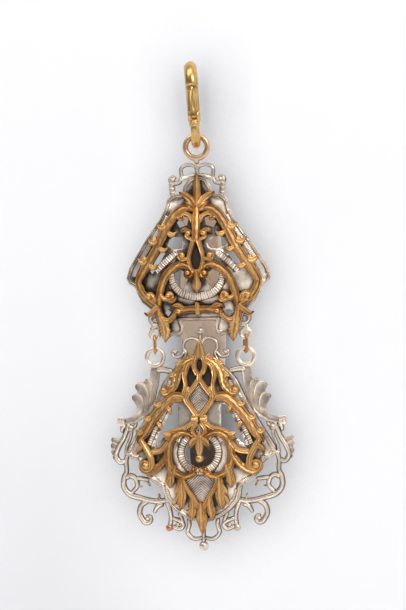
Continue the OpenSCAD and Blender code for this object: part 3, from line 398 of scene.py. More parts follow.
def scroll_path(scroll):
    """The whole path of a scroll with its curls, and the centres and sizes of the curls' eyes."""
    path = smooth(scroll.stations)
    eyes = []
    for curl, ends in ((scroll.start, (path[1], path[0])), (scroll.end, (path[-2], path[-1]))):
        if curl:
            spiral, centre = curl_path(*ends, curl)
            eyes.append(Bead(*centre, max(0.4, curl.last * 0.95)))
            path = np.vstack([path, spiral] if curl is scroll.end else [spiral[::-1], path])
    return path, eyes


def even(path, spacing):
    """The path again at even steps along its length, with the length run at each station."""
    run = np.concatenate([[0], np.cumsum(np.hypot(*np.diff(path[:, :2], axis=0).T))])
    s = np.linspace(0, run[-1], max(int(run[-1] / spacing), 8) + 1)
    return s, np.column_stack([np.interp(s, run, column) for column in path.T])


def dome_face(dome):
    """Depth of a dome's face at (x, z): a sphere's cap inside the foot's radius, 0 outside it."""
    if dome is None:
        return lambda x, z: np.zeros_like(x)
    big = (dome.foot**2 + dome.rise**2) / (2 * dome.rise)

    def face(x, z):
        inside = np.clip(x**2 + (z - dome.z) ** 2, 0, dome.foot**2)
        return big - dome.rise - np.sqrt(big**2 - inside)

    return face


def crown(a):
    """Half an ellipse: 1 at the middle and 0 at both edges."""
    return np.sqrt(np.clip(1 - a * a, 0, 1))


def bell(a, middle, width):
    """A bell curve: 1 at its middle and next to nothing two widths from it."""
    return np.exp(-(((a - middle) / width) ** 2))


def wave(turns):
    """A cosine, once round in each turn."""
    return np.cos(2 * math.pi * turns)


def ribs(turns):
    """Round ribs, one in each turn: the size of a sine of half as many turns."""
    return np.abs(np.sin(math.pi * turns))


def frond_relief(s, beside, a):
    """A ridge off the frond's middle, ribs beside it and veins that slant out."""
    veins = 0.16 * beside * wave(s / 1.7 - 1.2 * beside)
    return 0.64 + 0.42 * bell(beside, 0, 0.2) + veins + 0.1 * wave(3 * a)


# Cross-sections. Each gives the height over the foot in millimetres at a run of s along the strip,
# a share a of -1 to 1 across it and a half width w.
LOOKS = {
    # a crown with three reeds along it, as a cosine of one and a half turns to each side
    "reed": lambda s, a, w: 0.5 + np.minimum(0.75, 0.8 * w) * crown(a) * (
        0.82 + 0.18 * wave(1.5 * a)),
    # a low bed between two raised lips, with small leaves chased along its middle
    "rail": lambda s, a, w: 0.45 + 0.2 * crown(a) + 0.55 * np.maximum(
        bell(np.abs(a), 0.78, 0.16),
        bell(a, 0, 0.3) * (0.5 + 0.14 * wave((s - 1.3 * np.abs(a)) / 2.7))),
    # a low crown with a groove down the middle and veins that slant back from it
    "leaf": lambda s, a, w: 0.5 + np.minimum(0.8, 0.7 * w) * (
        crown(a) - 0.4 * bell(a, 0, 0.2) + 0.2 * np.abs(a) * wave(s / 0.95 - 0.9 * np.abs(a))),
    # a crown with one edge rolled up, a hollow beside it and faint ribs
    "petal": lambda s, a, w: 0.5 + 0.06 * wave(3 * a) * crown(a) + np.minimum(0.85, 0.85 * w) * (
        crown(a) - 0.45 * bell(a, -0.1, 0.3) + 0.3 * bell(a, 0.6, 0.22)),
    # a plump little leaf with a groove along its middle
    "crocket": lambda s, a, w: 0.5 + np.minimum(0.75, 0.9 * w) * crown(a) * (
        1 - 0.35 * bell(a, 0, 0.22)),
    # a flame-shaped leaf with its relief
    "frond": lambda s, a, w: 0.5 + np.minimum(0.9, 0.8 * w) * crown(a) * frond_relief(
        s, np.abs(a + 0.25), a),
    # two slopes that meet in a sharp ridge
    "blade": lambda s, a, w: 0.45 + np.minimum(1, 0.9 * w) * (1 - np.abs(a) ** 0.9),
    # a plain crown as high as it is wide
    "wire": lambda s, a, w: 0.55 + np.minimum(0.75, 0.95 * w) * crown(a),
    # a smooth lobe of a shell: a shallow hollow with a thin rolled lip along one edge
    "lobe": lambda s, a, w: 0.62 + 0.16 * w * a**2 + 0.42 * bell(a, -0.82, 0.15) + 0.12 * crown(a),
    # a flat bar with soft edges
    "block": lambda s, a, w: 1.15 - 0.25 * a**8,
    # a crown wound with slanting turns
    "rope": lambda s, a, w: 0.4 + 0.8 * w * crown(a) * (0.78 + 0.22 * wave(s / 1.15 - 0.35 * a)),
    # a half-round band with ribs straight across it
    "milled": lambda s, a, w: 0.4 + 0.12 * crown(a) + 0.32 * (1 - a**8) * ribs(s / 0.72),
    # a flat border with fine ribs straight across it
    "fine_milled": lambda s, a, w: 0.24 + 0.11 * (1 - a**8) * ribs(s / 0.6),
    # a panel milled with chevrons: the ribs slant down from its middle to both sides
    "chevron": lambda s, a, w: 0.2 + 0.22 * ribs((s - 0.9 * np.abs(a) * w) / 0.8),
    # two rounds side by side: the square of a sine across
    "moulding": lambda s, a, w: 0.3 + 0.42 * np.sin(math.pi * a) ** 2 * (0.75 + 0.25 * a),
}
# Depth and pitch of the lobes along a leaf's edges
LOBED = {"leaf": (0.13, 1.9), "frond": (0.06, 3.4), "rail": (0.05, 2.7)}
# Looks whose ends are rounded
BLUNT = ("reed", "wire", "lobe", "rope", "rail")
# How much darker a look is all over, and how much painted shade darkens it towards its edges
SHADE = {"wire": (0.06, 0.75), "lobe": (0, 0.1), "chevron": (0.3, 0.1), "milled": (0.2, 0.2),
         "fine_milled": (0.22, 0.1), "moulding": (0.05, 0.3), "rope": (0, 0.6)}
# Columns across a strip, and across a panel, whose slanting ribs need more
ACROSS, ACROSS_PANEL = 19, 61
# Step along a strip, and the rise of a curl's eye and of a bead
STRIP_STEP, EYE_RISE, BEAD_RISE = 0.2, 1.35, 1.3
# Rows and points of a bead's rings, rows of a ball, rows and points of a wire ring
BEAD_GRID, BALL_ROWS, RING_GRID = (8, 24), 14, (48, 16)
# Angle left open at the poles of a bead and of a ball
BEAD_POLE, BALL_POLE = 0.08, 0.06
# Heights of a bead's drum and of the half ellipsoid on it, as shares of its rise
BEAD_DRUM, BEAD_CAP = 0.45, 0.75
# A blunt end: its longest rounding, and the least share of its width, squared, and of its height
END_BEND, END_WIDTH, END_HEIGHT = 0.9, 0.02, 0.3
# Per cent of a strip's points that lie below its bright crest
BELOW_CREST = 97
# Step along a plate's outline, and neighbours that its corners are averaged over
OUTLINE_STEP, OUTLINE_REACH = 0.15, 4
# Tones of every face that looks back, of the round beads and of the wire rings
BACK_TONE, BALL_TONE, RING_TONE = 0.7, 0.62, 0.8

# A closed shell: its points, its faces and a tone of 0 to 1 at each point, dark to bright
Shell = namedtuple("Shell", "points faces tone")


def grid_faces(rows, columns, wrap_rows=False):
    """Four-sided faces of a grid that is closed across its columns, and along its rows if asked."""
    i = np.arange(rows if wrap_rows else rows - 1)[:, None]
    j = np.arange(columns)[None, :]
    near, far = i * columns, (i + 1) % rows * columns
    following = (j + 1) % columns
    return np.stack([near + j, near + following, far + following, far + j], axis=-1).reshape(-1, 4)


def closed_shell(points, tone, wrap_rows=False):
    """A shell of a grid of points, rows by columns, with a flat cap at each end unless its rows
    wrap. Its faces are turned outwards by the sign of the volume that they enclose."""
    rows, columns = points.shape[:2]
    flat = points.reshape(-1, 3)
    quads = grid_faces(rows, columns, wrap_rows)
    a, b, c, d = (flat[quads[:, k]] for k in range(4))
    volume = (np.cross(a, b) * c).sum() + (np.cross(a, c) * d).sum()
    faces = quads.tolist()
    if not wrap_rows:
        first = np.arange(columns)
        last = first + (rows - 1) * columns
        faces += [first[::-1].tolist(), last.tolist()]
    if volume < 0:
        faces = [face[::-1] for face in faces]
    return Shell(flat, faces, tone.reshape(-1))


def strip_shell(path, look, face, foot, closed=False):
    """A cast strip: its section is carried along the path, square to it, and its foot lies on face,
    foot behind it. Blunt ends are rounded by a quarter circle, and leaves have lobed edges."""
    s, path = even(path, STRIP_STEP)
    if closed:
        s, path = s[:-1], path[:-1]
    x, z, w = path.T
    dx, dz = ((np.roll(v, -1) - np.roll(v, 1) if closed else np.gradient(v)) for v in (x, z))
    normal = np.stack([-dz, dx]) / np.maximum(np.hypot(dx, dz), 1e-9)
    fall = np.ones_like(s)
    if look in LOBED:
        depth, pitch = LOBED[look]
        w = w * (1 + depth * (2 * ribs(s / pitch) ** 0.6 - 1.3))
    if look in BLUNT and not closed:
        bend = w if look == "lobe" else np.minimum(w, END_BEND)
        near_end = np.minimum(s, s[-1] - s) / np.maximum(bend, 0.1)
        fall = np.sqrt(np.clip(1 - (1 - np.clip(near_end, 0, 1)) ** 2, END_WIDTH, 1))
        w = w * fall
    turn = np.linspace(0, math.pi, ACROSS_PANEL if look == "chevron" else ACROSS)
    a = np.concatenate([[-1], -np.cos(turn), [1]])[None, :]
    height = LOOKS[look](s[:, None], a, path[:, 2:3])
    height = height * (END_HEIGHT + (1 - END_HEIGHT) * fall[:, None])
    height[:, 0] = height[:, -1] = 0
    x, z = path[:, :2].T[:, :, None] + normal[:, :, None] * w[:, None] * a
    points = np.stack([x, face(x, z) + foot - height, z], axis=-1)
    # Tarnish and painted shade: the tone falls with the height, so a strip's low parts are darker,
    # and painted shade darkens it towards its edges
    everywhere, painted_edge_shade = SHADE.get(look, (0, 0))
    tone = height / np.percentile(height, BELOW_CREST) - everywhere - painted_edge_shade * a * a
    return closed_shell(points, np.clip(tone, 0, 1), closed)


def around(count):
    """The angles of so many points round a circle."""
    return np.linspace(0, 2 * math.pi, count + 1)[:-1]


def dome_bead(bead, face, foot, rise):
    """A cast bead: half an ellipsoid on a short drum, in rings from its foot to its pole."""
    rows, sides = BEAD_GRID
    lift = np.linspace(0, math.pi / 2 - BEAD_POLE, rows)[:, None]
    ring = around(sides)
    radius = np.vstack([[[bead.r]], bead.r * np.cos(lift)])
    height = np.vstack([[[0]], rise * (BEAD_DRUM + BEAD_CAP * np.sin(lift))]) + 0 * ring
    x, z = bead.x + radius * np.cos(ring), bead.z + radius * np.sin(ring)
    y = face(np.array(float(bead.x)), np.array(float(bead.z))) + foot - height
    # Tarnish and painted shade: the tone rises with the height, so the bead's foot is darker
    return closed_shell(np.stack([x, y, z], axis=-1), np.clip(height / rise, 0, 1))


def ball(bead, y):
    """A round bead centred at the depth y, in rings of latitude."""
    lift = np.linspace(BALL_POLE - math.pi / 2, math.pi / 2 - BALL_POLE, BALL_ROWS)[:, None]
    ring = around(BEAD_GRID[1])
    radius = bead.r * np.cos(lift)
    z = bead.z + bead.r * np.sin(lift) + 0 * ring
    points = [bead.x + radius * np.cos(ring), y + radius * np.sin(ring), z]
    return closed_shell(np.stack(points, axis=-1), np.full(z.shape, BALL_TONE))


def torus(bead, thickness, y):
    """A wire ring that faces the front: a circle of half its thickness carried round a circle."""
    rows, sides = RING_GRID
    turn, section = around(rows)[:, None], around(sides)
    radius = bead.r + thickness * np.cos(section)
    points = [bead.x + radius * np.cos(turn), y + thickness * np.sin(section) + 0 * turn,
              bead.z + radius * np.sin(turn)]
    return closed_shell(np.stack(points, axis=-1), np.full(RING_GRID, RING_TONE), wrap_rows=True)


def mirrored(shell):
    """The same shell on the other side of the plates' axis, its faces turned back outwards."""
    return Shell(shell.points * [-1, 1, 1], [face[::-1] for face in shell.faces], shell.tone)


def strips(scrolls, face, foot):
    """Shells of a table of scrolls, with an eye in the middle of each curl."""
    shells = []
    for scroll in scrolls:
        path, eyes = scroll_path(scroll)
        shells.append(strip_shell(path, scroll.look, face, foot))
        shells += [dome_bead(eye, face, foot, EYE_RISE) for eye in eyes]
    return shells


def paired(right):
    """Shells of the right half, and the same mirrored."""
    return right + [mirrored(shell) for shell in right]


def casting(pairs, middle, pair_beads, middle_beads, face, foot):
    """All shells of a casting: its pairs of scrolls and beads, and those on its axis."""
    right, axis = (
        strips(scrolls, face, foot) + [dome_bead(bead, face, foot, BEAD_RISE) for bead in beads]
        for scrolls, beads in ((pairs, pair_beads), (middle, middle_beads)))
    return paired(right) + axis


def make_piece(name, shells, body, material, base_y=0.0, replaces=()):
    """One mesh of all the shells, moved from the tables' place to the frame's and set in metres."""
    counts = np.cumsum([0] + [len(shell.points) for shell in shells])
    points = np.vstack([shell.points for shell in shells]) + [AXIS_X, base_y, AXIS_Z]
    faces = [[v + start for v in face]
             for shell, start in zip(shells, counts) for face in shell.faces]
    mesh = bpy.data.meshes.new(name)
    mesh.from_pydata((points * MM).tolist(), [], faces)
    mesh.update()
    set_tone(mesh, np.concatenate([shell.tone for shell in shells]))
    finish_piece(name, mesh, body, material, replaces)


def finish_piece(name, mesh, body, material, replaces=()):
    """Shades the mesh smooth but for its sharp edges, and puts it on its body."""
    mesh.shade_smooth()
    mesh.set_sharp_from_angle(angle=SHARP_ANGLE)
    mesh.materials.clear()
    mesh.materials.append(material)
    piece = bpy.data.objects.new(name, mesh)
    bpy.context.scene.collection.objects.link(piece)
    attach(piece, body)
    if replaces:
        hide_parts(*replaces)


def running_average(values, reach, axis=0):
    """Each value as the mean of itself and of reach neighbours to both sides, round the end."""
    return sum(np.roll(values, k, axis=axis) for k in range(-reach, reach + 1)) / (2 * reach + 1)


def outline_loop(half):
    """A plate's whole outline from its right half, with its corners softened by an average."""
    right = np.array(half, float)
    loop = np.vstack([right, right[-2::-1] * [-1, 1]])
    return running_average(even(loop, OUTLINE_STEP)[1][:-1], OUTLINE_REACH)


def inset(loop, distance, half_width):
    """The loop moved inwards, square to itself, with a half width for the strip on it."""
    along = np.roll(loop, -1, axis=0) - np.roll(loop, 1, axis=0)
    inwards = np.column_stack([along[:, 1], -along[:, 0]])
    inwards /= np.linalg.norm(inwards, axis=1, keepdims=True)
    path = np.column_stack([loop + inwards * distance, np.full(len(loop), half_width)])
    return np.vstack([path, path[:1]])


def ring_path(bead, half_width):
    """A circle as a closed path."""
    turn = np.linspace(0, 2 * math.pi, 121)
    return np.column_stack([bead.x + bead.r * np.cos(turn), bead.z + bead.r * np.sin(turn),
                            np.full_like(turn, half_width)])


def node(tree, kind, *in_order, **by_name):
    """A shader node with its inputs, in order or by name, set to a value or linked to a socket."""
    made = tree.nodes.new("ShaderNode" + kind)
    by_name = {name.replace("_", " "): value for name, value in by_name.items()}
    for key, value in (*enumerate(in_order), *by_name.items()):
        if isinstance(value, bpy.types.NodeSocket):
            tree.links.new(value, made.inputs[key])
        else:
            made.inputs[key].default_value = value
    return made


def blank(owner):
    """The emptied node tree of a new material or world."""
    owner.use_nodes = True
    owner.node_tree.nodes.clear()
    return owner.node_tree


# Scale and detail of the tarnish's clouds and of the fine scratches
CLOUDS, SPECKS = (260, 4), (2600, 3)
# Tone where a piece has none of its own, how far the clouds shift it, and the tones at which the
# hollow's and the ridge's colour are reached
PLAIN_TONE, CLOUD_SHIFT, HOLLOW_AT, RIDGE_AT = 0.7, 0.22, 0.25, 0.92
# How much rougher a hollow is than a ridge, and the depth of the scratches
HOLLOW_ROUGHER, SCRATCH = 0.22, 0.08 * MM


def metal(name, hollow, ridge, roughness, grain, use_tone=True, polish=1.0):
    """Worn metal: the colour runs from hollow to ridge by the piece's tone, which carries tarnish
    and painted shade, and by a cloudy noise, and fine scratches and pits lift the surface a little.
    Less polish makes it matt, like satin."""
    material = bpy.data.materials.new(name)
    tree = blank(material)
    place = node(tree, "TexCoord").outputs["Object"]
    clouds, specks = (
        node(tree, "TexNoise", place, Scale=scale, Detail=detail, Roughness=0.6).outputs["Fac"]
        for scale, detail in (CLOUDS, SPECKS))
    share = node(tree, "MapRange", clouds, From_Min=0.3, From_Max=0.7, To_Min=-CLOUD_SHIFT,
                 To_Max=CLOUD_SHIFT)
    level = node(tree, "Math", share.outputs["Result"], PLAIN_TONE)
    level.operation = "ADD"
    level.use_clamp = True
    if use_tone:
        tone = node(tree, "Attribute")
        tone.attribute_name = "tone"
        tree.links.new(tone.outputs["Fac"], level.inputs[1])
    level = level.outputs["Value"]
    ramp = node(tree, "ValToRGB", level)
    stops = ((HOLLOW_AT, hollow), (RIDGE_AT, ridge))
    for stop, (place_on_ramp, shade) in zip(ramp.color_ramp.elements, stops):
        stop.position = place_on_ramp
        stop.color = (*shade, 1)
    rough = node(tree, "MapRange", level, To_Min=roughness + HOLLOW_ROUGHER, To_Max=roughness)
    bump = node(tree, "Bump", Strength=grain, Distance=SCRATCH, Height=specks)
    shader = node(tree, "BsdfPrincipled", ramp.outputs["Color"], Metallic=polish, IOR=1.5,
                  Roughness=rough.outputs["Result"], Normal=bump.outputs["Normal"])
    node(tree, "OutputMaterial", shader.outputs["BSDF"])
    return material


def length(name, description, default, least, most):
    """A length that a user may change."""
    return FloatProperty(name=name, description=description, default=default, min=least, max=most,
                         subtype="DISTANCE")


def colour(name, description, *default):
    """A colour that a user may change."""
    return FloatVectorProperty(name=name, description=description, default=default, subtype="COLOR")


class ChatelaineSizes(bpy.types.PropertyGroup):
    """Sizes of the dressed pieces."""

    rim_width: length("Rim width", "Width of the double moulding on the rims",
                      1.1 * MM, 0.5 * MM, 2 * MM)
    lift: length("Overlay lift", "Height of the overlays' feet over the domes",
                 0.5 * MM, 0.3 * MM, 0.8 * MM)


class ChatelaineColours(bpy.types.PropertyGroup):
    """Colours of the metals."""

    silver: colour("Silver", "Silver where it is rubbed bright", 0.93, 0.785, 0.64)
    tarnish: colour("Tarnish", "Silver in the hollows", 0.17, 0.13, 0.105)
    gilt: colour("Gilt", "Gilding on the ridges", 0.62, 0.365, 0.144)
    gilt_hollow: colour("Gilt hollows", "Gilding in the hollows", 0.25, 0.115, 0.045)
    brass: colour("Brass", "Snap hook", 0.75, 0.47, 0.175)
    copper: colour("Reddish gilt", "Top ring", 0.58, 0.325, 0.18)
    bead: colour("Copper bead", "Left bead at the bottom", 0.78, 0.36, 0.2)


class ChatelaineStage(bpy.types.PropertyGroup):
    """Camera, wall and sheet."""

    azimuth: FloatProperty(name="Azimuth", description="Turn of the camera round the object",
                           default=math.radians(8.5), subtype="ANGLE")
    lean: FloatProperty(name="Lean", description="Roll of the camera",
                        default=math.radians(1.05), subtype="ANGLE")
    distance: length("Distance", "From the camera to the plates", 0.9, 0.3, 3)
    wall_gap: length("Wall", "From the plates' middle to the wall, clear of the swing",
                     0.12, 0.1, 0.5)
    sheet_gap: length("Sheet", "From the plates' middle to the sheet that is shaded",
                      0.0095, 0.009, 0.05)
    reach: length("Reach", "How far round the part the sheet is shaded", 0.02, 0.005, 0.05)


def finish_of(name):
    """The material of that name, made when it is first asked for."""
    if name in bpy.data.materials:
        return bpy.data.materials[name]
    c = bpy.context.scene.chatelaine_colours
    dull = Vector(c.tarnish)
    # hollow, ridge, roughness, grain, whether the piece has its own tone, polish
    recipes = {
        "silver_plate": (dull * 0.4, c.silver, 0.26, 0.25, True, 0.9),
        "silver_tongue": (dull * 0.7, c.silver, 0.5, 0.12, True, 0.35),
        "silver_cast": (dull, c.silver, 0.26, 0.2, True, 0.88),
        "gilt_cast": (c.gilt_hollow, c.gilt, 0.34, 0.3, True),
        "gilt_wire": (c.gilt_hollow, c.gilt, 0.26, 0.15, False),
        "brass_smooth": (Vector(c.brass) * 0.45, c.brass, 0.22, 0.1, False),
        "copper_gilt": (Vector(c.copper) * 0.42, c.copper, 0.14, 0.12, False),
        "copper_bead": (Vector(c.copper) * 0.5, c.bead, 0.25, 0.1, False),
    }
    return metal(name, *recipes[name])


# Heights between which painted shade darkens the tongue from bright to dark, and by how much
TONGUE_BRIGHT, TONGUE_DARK, TONGUE_PAINTED_SHADE = -66, -90, 0.8
# Tone of each plate in the open on its axis, and what a millimetre to the right adds as painted
# light, which leaves the upper plate's left side in painted shade; and how much tarnish and painted
# shade a casting puts on the plate beneath it
PLATE_TONES = {"upper_plate": (0.76, 0.014), "lower_plate": (1.05, 0)}
COVERED_TARNISH_AND_SHADE = 0.98
# Longest edges of the tongue and of the plates, whose tone changes from point to point
TONGUE_EDGE, PLATE_EDGE = 2 * MM, 1.2 * MM
# Points nearer each other than this are merged into one
SAME_POINT = 0.001 * MM
# Body, slot and finish of the pieces that keep their shape
NODE_FINISH = {
    "snap_hook": ("hook", "brass", "brass_smooth"),
    "snap_gate": ("gate", "brass", "brass_smooth"),
    "gate_pin": ("hook", "brass", "brass_smooth"),
    "top_ring": ("upper", "copper_gilt", "copper_gilt"),
    "belt_hook": ("upper", "silver", "silver_tongue"),
    "link_left": ("upper", "gilt", "gilt_wire"),
    "link_right": ("upper", "gilt", "gilt_wire"),
}


# Grid on which the castings' cover is worked out: its low corner, its size and its cells
COVER_LOW, COVER_SIZE, COVER_CELL = np.array([-30, -125]), np.array([60, 125]), 0.25
COVER_REACH = 4
# Points across a scroll's footprint
COVER_ACROSS = 11


def cover_map(scrolls):
    """How much a casting covers the plate, for the tarnish and painted shade beneath it: its
    footprint on a square grid of cells, blurred by three running averages each way. Gives a
    function of x and z, 0 in the open and 1 beneath the casting."""
    cover = np.zeros((COVER_SIZE / COVER_CELL).astype(int))

    def cells(x, z):
        i, j = ((v - low) / COVER_CELL for v, low in zip((x, z), COVER_LOW))
        (i_most, j_most) = np.array(cover.shape) - 1
        return np.clip(i, 0, i_most).astype(int), np.clip(j, 0, j_most).astype(int)

    for scroll in scrolls:
        path = even(scroll_path(scroll)[0], COVER_CELL)[1]
        step = np.gradient(path[:, :2], axis=0)
        normal = np.column_stack([-step[:, 1], step[:, 0]])
        normal /= np.linalg.norm(step, axis=1, keepdims=True)
        aside = path[:, 2, None] * np.linspace(-1, 1, COVER_ACROSS)
        x, z = (path[:, None, :2] + normal[:, None, :] * aside[:, :, None]).transpose(2, 0, 1)
        for side in (1, -1):
            cover[cells(x * side, z)] = 1
    for axis in (0, 1, 0, 1, 0, 1):
        cover = running_average(cover, COVER_REACH, axis)
    return lambda x, z: cover[cells(x, z)]


def subdivided(mesh, longest):
    """Halves the mesh's long edges until none is longer than asked, five times at most."""
    grid = bmesh.new()
    grid.from_mesh(mesh)
    for _ in range(5):
        long_edges = [edge for edge in grid.edges if edge.calc_length() > longest]
        if not long_edges:
            break
        bmesh.ops.subdivide_edges(grid, edges=long_edges, cuts=1)
        bmesh.ops.triangulate(grid, faces=[face for face in grid.faces if len(face.verts) > 4])
    grid.to_mesh(mesh)
    grid.free()


def merged_copy(name):
    """A copy of a CAD node's mesh with its doubled points merged."""
    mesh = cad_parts[name].data.copy()
    holder = bpy.data.objects.new("merging", mesh)
    bpy.context.scene.collection.objects.link(holder)
    weld = holder.modifiers.new("weld", "WELD")
    weld.merge_threshold = SAME_POINT
    merged = bpy.data.meshes.new_from_object(
        holder.evaluated_get(bpy.context.evaluated_depsgraph_get()))
    bpy.data.objects.remove(holder)
    merged.name = name + "_dressed"
    return merged


def across_and_up(mesh):
    """The tables' coordinates of each point of a mesh."""
    place = np.empty(len(mesh.vertices) * 3, np.float32)
    mesh.vertices.foreach_get("co", place)
    x, _, z = place.reshape(-1, 3).T / MM
    return x - AXIS_X, z - AXIS_Z


def set_tone(mesh, values):
    """Keeps a tone of 0 to 1 at each corner of each face, dark to bright: the values given for the
    mesh's points, but one plain tone on the faces that look back."""
    points = np.empty(len(mesh.loops), np.int32)
    mesh.loops.foreach_get("vertex_index", points)
    normals = np.empty(len(mesh.polygons) * 3, np.float32)
    mesh.polygons.foreach_get("normal", normals)
    corners = np.empty(len(mesh.polygons), np.int32)
    mesh.polygons.foreach_get("loop_total", corners)
    looks_back = np.repeat(normals[1::3] > 0.5, corners)
    values = np.where(looks_back, BACK_TONE, values[points]).astype(np.float32)
    mesh.attributes.new("tone", "FLOAT", "CORNER").data.foreach_set("value", values)


class CHATELAINE_OT_smooth_metal(bpy.types.Operator):
    """Polishes the hook, rings, links and tongue: a merged copy of each, shaded smooth. The tongue
    is given painted shade down its length, where the lower plate covers it."""

    bl_idname = "chatelaine.smooth_metal"
    bl_label = "Hook, rings, links and tongue"

    def execute(self, context):
        for name, (body, slot, finish) in NODE_FINISH.items():
            mesh = merged_copy(name)
            if name == "belt_hook":
                subdivided(mesh, TONGUE_EDGE)
                # Painted shade on the tongue, darker down its length behind the lower plate
                below = (across_and_up(mesh)[1] - TONGUE_BRIGHT) / (TONGUE_DARK - TONGUE_BRIGHT)
                set_tone(mesh, 1 - TONGUE_PAINTED_SHADE * np.clip(below, 0, 1))
            finish_piece(name + "_dressed", mesh, body, finish_of(finish), (name,))
        return {"FINISHED"}


class CHATELAINE_OT_plates(bpy.types.Operator):
    """Darkens the two pierced plates with tarnish and painted shade where the scrollwork lies over
    them, and paints shade on the upper one's left side."""

    bl_idname = "chatelaine.plates"
    bl_label = "Pierced plates"

    def execute(self, context):
        for name, body, scrolls in (
            ("upper_plate", "upper", UPPER_PAIRS + UPPER_MIDDLE + UPPER_PAINTED_SHADOWS),
            ("lower_plate", "lower", LOWER_PAIRS + LOWER_MIDDLE + LOWER_PAINTED_SHADOWS),
        ):
            mesh = merged_copy(name)
            subdivided(mesh, PLATE_EDGE)
            x, z = across_and_up(mesh)
            open_tone, painted_light_to_the_right = PLATE_TONES[name]
            # Painted shade: the upper plate is darker to the left, and both plates are darker
            # beneath the scrollwork by tarnish and painted shade
            set_tone(mesh, open_tone + painted_light_to_the_right * x - COVERED_TARNISH_AND_SHADE * cover_map(scrolls)(x, z))
            finish_piece(name + "_dressed", mesh, body, finish_of("silver_plate"),
                         (name,))
        return {"FINISHED"}


class CHATELAINE_OT_upper_overlay(bpy.types.Operator):
    """Casts the gilt scrollwork of the upper plate."""

    bl_idname = "chatelaine.upper_overlay"
    bl_label = "Upper scrollwork"

    def execute(self, context):
        lift = context.scene.chatelaine_sizes.lift / MM
        shells = casting(UPPER_PAIRS, UPPER_MIDDLE, UPPER_BEADS, [], dome_face(UPPER_DOME), -lift)
        make_piece("upper_scrollwork", shells, "upper", finish_of("gilt_cast"),
                   replaces=("upper_overlay",))
        return {"FINISHED"}


class CHATELAINE_OT_lower_overlay(bpy.types.Operator):
    """Casts the gilt scrollwork of the lower plate."""

    bl_idname = "chatelaine.lower_overlay"
    bl_label = "Lower scrollwork"

    def execute(self, context):
        lift = context.scene.chatelaine_sizes.lift / MM
        shells = casting(LOWER_PAIRS, LOWER_MIDDLE, LOWER_BEADS, LOWER_MIDDLE_BEADS,
                         dome_face(LOWER_DOME), -lift)
        make_piece("lower_scrollwork", shells, "lower", finish_of("gilt_cast"), LOWER_Y,
                   replaces=("lower_overlay",))
        return {"FINISHED"}


class CHATELAINE_OT_lower_frame(bpy.types.Operator):
    """Casts the silver frame of shells, scrolls and beads, with the two side rings."""

    bl_idname = "chatelaine.lower_frame"
    bl_label = "Silver frame"

    def execute(self, context):
        middle_y = FRAME_BACK - FRAME_T / 2
        shells = casting(FRAME_PAIRS, FRAME_MIDDLE, [], [], dome_face(None), FRAME_BACK)
        shells += paired([ball(bead, middle_y) for bead in FRAME_BEADS]
                         + [torus(SIDE_RING, SIDE_RING_WIRE, FOOT_Y)])
        shells += [ball(bead, middle_y) for bead in (COPPER_BEAD, *FRAME_MIDDLE_BEADS)]
        make_piece("silver_frame", shells, "lower", finish_of("silver_cast"),
                   replaces=("lower_frame",))
        make_piece("left_bottom_bead", [mirrored(ball(COPPER_BEAD, middle_y))], "lower",
                   finish_of("copper_bead"))
        return {"FINISHED"}


class CHATELAINE_OT_plate_trim(bpy.types.Operator):
    """Makes the rims' double mouldings, the milled bands, the crest and the feet's scrolls."""

    bl_idname = "chatelaine.plate_trim"
    bl_label = "Mouldings, milled bands and crest"

    def execute(self, context):
        half = context.scene.chatelaine_sizes.rim_width / MM / 2
        silver = finish_of("silver_cast")
        for body, edge, bands, middle, dome, base_y in (
            ("upper", UPPER_EDGE, UPPER_BANDS, UPPER_SWAG, UPPER_DOME, 0),
            ("lower", LOWER_EDGE, LOWER_BANDS, LOWER_PANELS, LOWER_DOME, LOWER_Y),
        ):
            face = dome_face(dome)
            rim = inset(outline_loop(edge), half, half)
            shells = [strip_shell(rim, "moulding", face, 0, closed=True)]
            shells += paired(strips(bands, face, 0)) + strips(middle, face, 0)
            if body == "lower":
                ring = ring_path(OPENING_RING, OPENING_BAND)
                shells.append(strip_shell(ring, "milled", face, 0, closed=True))
            make_piece(body + "_mouldings", shells, body, silver, base_y)
        trim = casting(TRIM_PAIRS, [], [], [], dome_face(None), PLATE_T + 0.05)
        trim += paired([ball(bead, FOOT_Y) for bead in TRIM_BEADS]
                       + [torus(FOOT_LOOP, FOOT_LOOP_WIRE, FOOT_Y)])
        trim += [ball(bead, FOOT_Y) for bead in TRIM_MIDDLE_BEADS]
        make_piece("crest_and_feet", trim, "upper", silver)
        return {"FINISHED"}


def front_only(tree, shown):
    """Shows a shader from the front, and nothing from behind."""
    behind = node(tree, "NewGeometry").outputs["Backfacing"]
    clear = node(tree, "BsdfTransparent").outputs["BSDF"]
    node(tree, "OutputMaterial", node(tree, "MixShader", behind, shown, clear).outputs["Shader"])


def stage_material(name, colour, glow):
    """Matt paint with a faint glow for the wall and floor: it shows from the front alone."""
    material = bpy.data.materials.new(name)
    tree = blank(material)
    paint = node(tree, "BsdfDiffuse", (*colour, 1)).outputs["BSDF"]
    lit = node(tree, "Emission", (*colour, 1), glow).outputs["Emission"]
    front_only(tree, node(tree, "AddShader", paint, lit).outputs["Shader"])
    return material


def shaded_sheet(name, gap, reach):
    """A clear upright sheet that paints a shadow on what is seen through it where something stands
    close before it, by the share of the half sphere over each point that is taken up within reach.
    It is as large as the part's box and reach, clear from behind, and only the camera sees it."""
    material = bpy.data.materials.new(name)
    tree = blank(material)
    open_share = node(tree, "AmbientOcclusion", Distance=reach)
    open_share.samples = 16
    front_only(tree, node(tree, "BsdfTransparent", open_share.outputs["Color"]).outputs["BSDF"])
    (left, _, low), (right, _, high) = CAD_BOX
    left, low, right, high = left - reach, low - reach, right + reach, high + reach
    mesh = bpy.data.meshes.new(name)
    corners = [(left, gap, low), (right, gap, low), (right, gap, high), (left, gap, high)]
    mesh.from_pydata(corners, [], [(0, 1, 2, 3)])
    mesh.materials.append(material)
    sheet = bpy.data.objects.new(name, mesh)
    for kind in ("diffuse", "glossy", "transmission", "volume_scatter", "shadow"):
        setattr(sheet, "visible_" + kind, False)
    return sheet


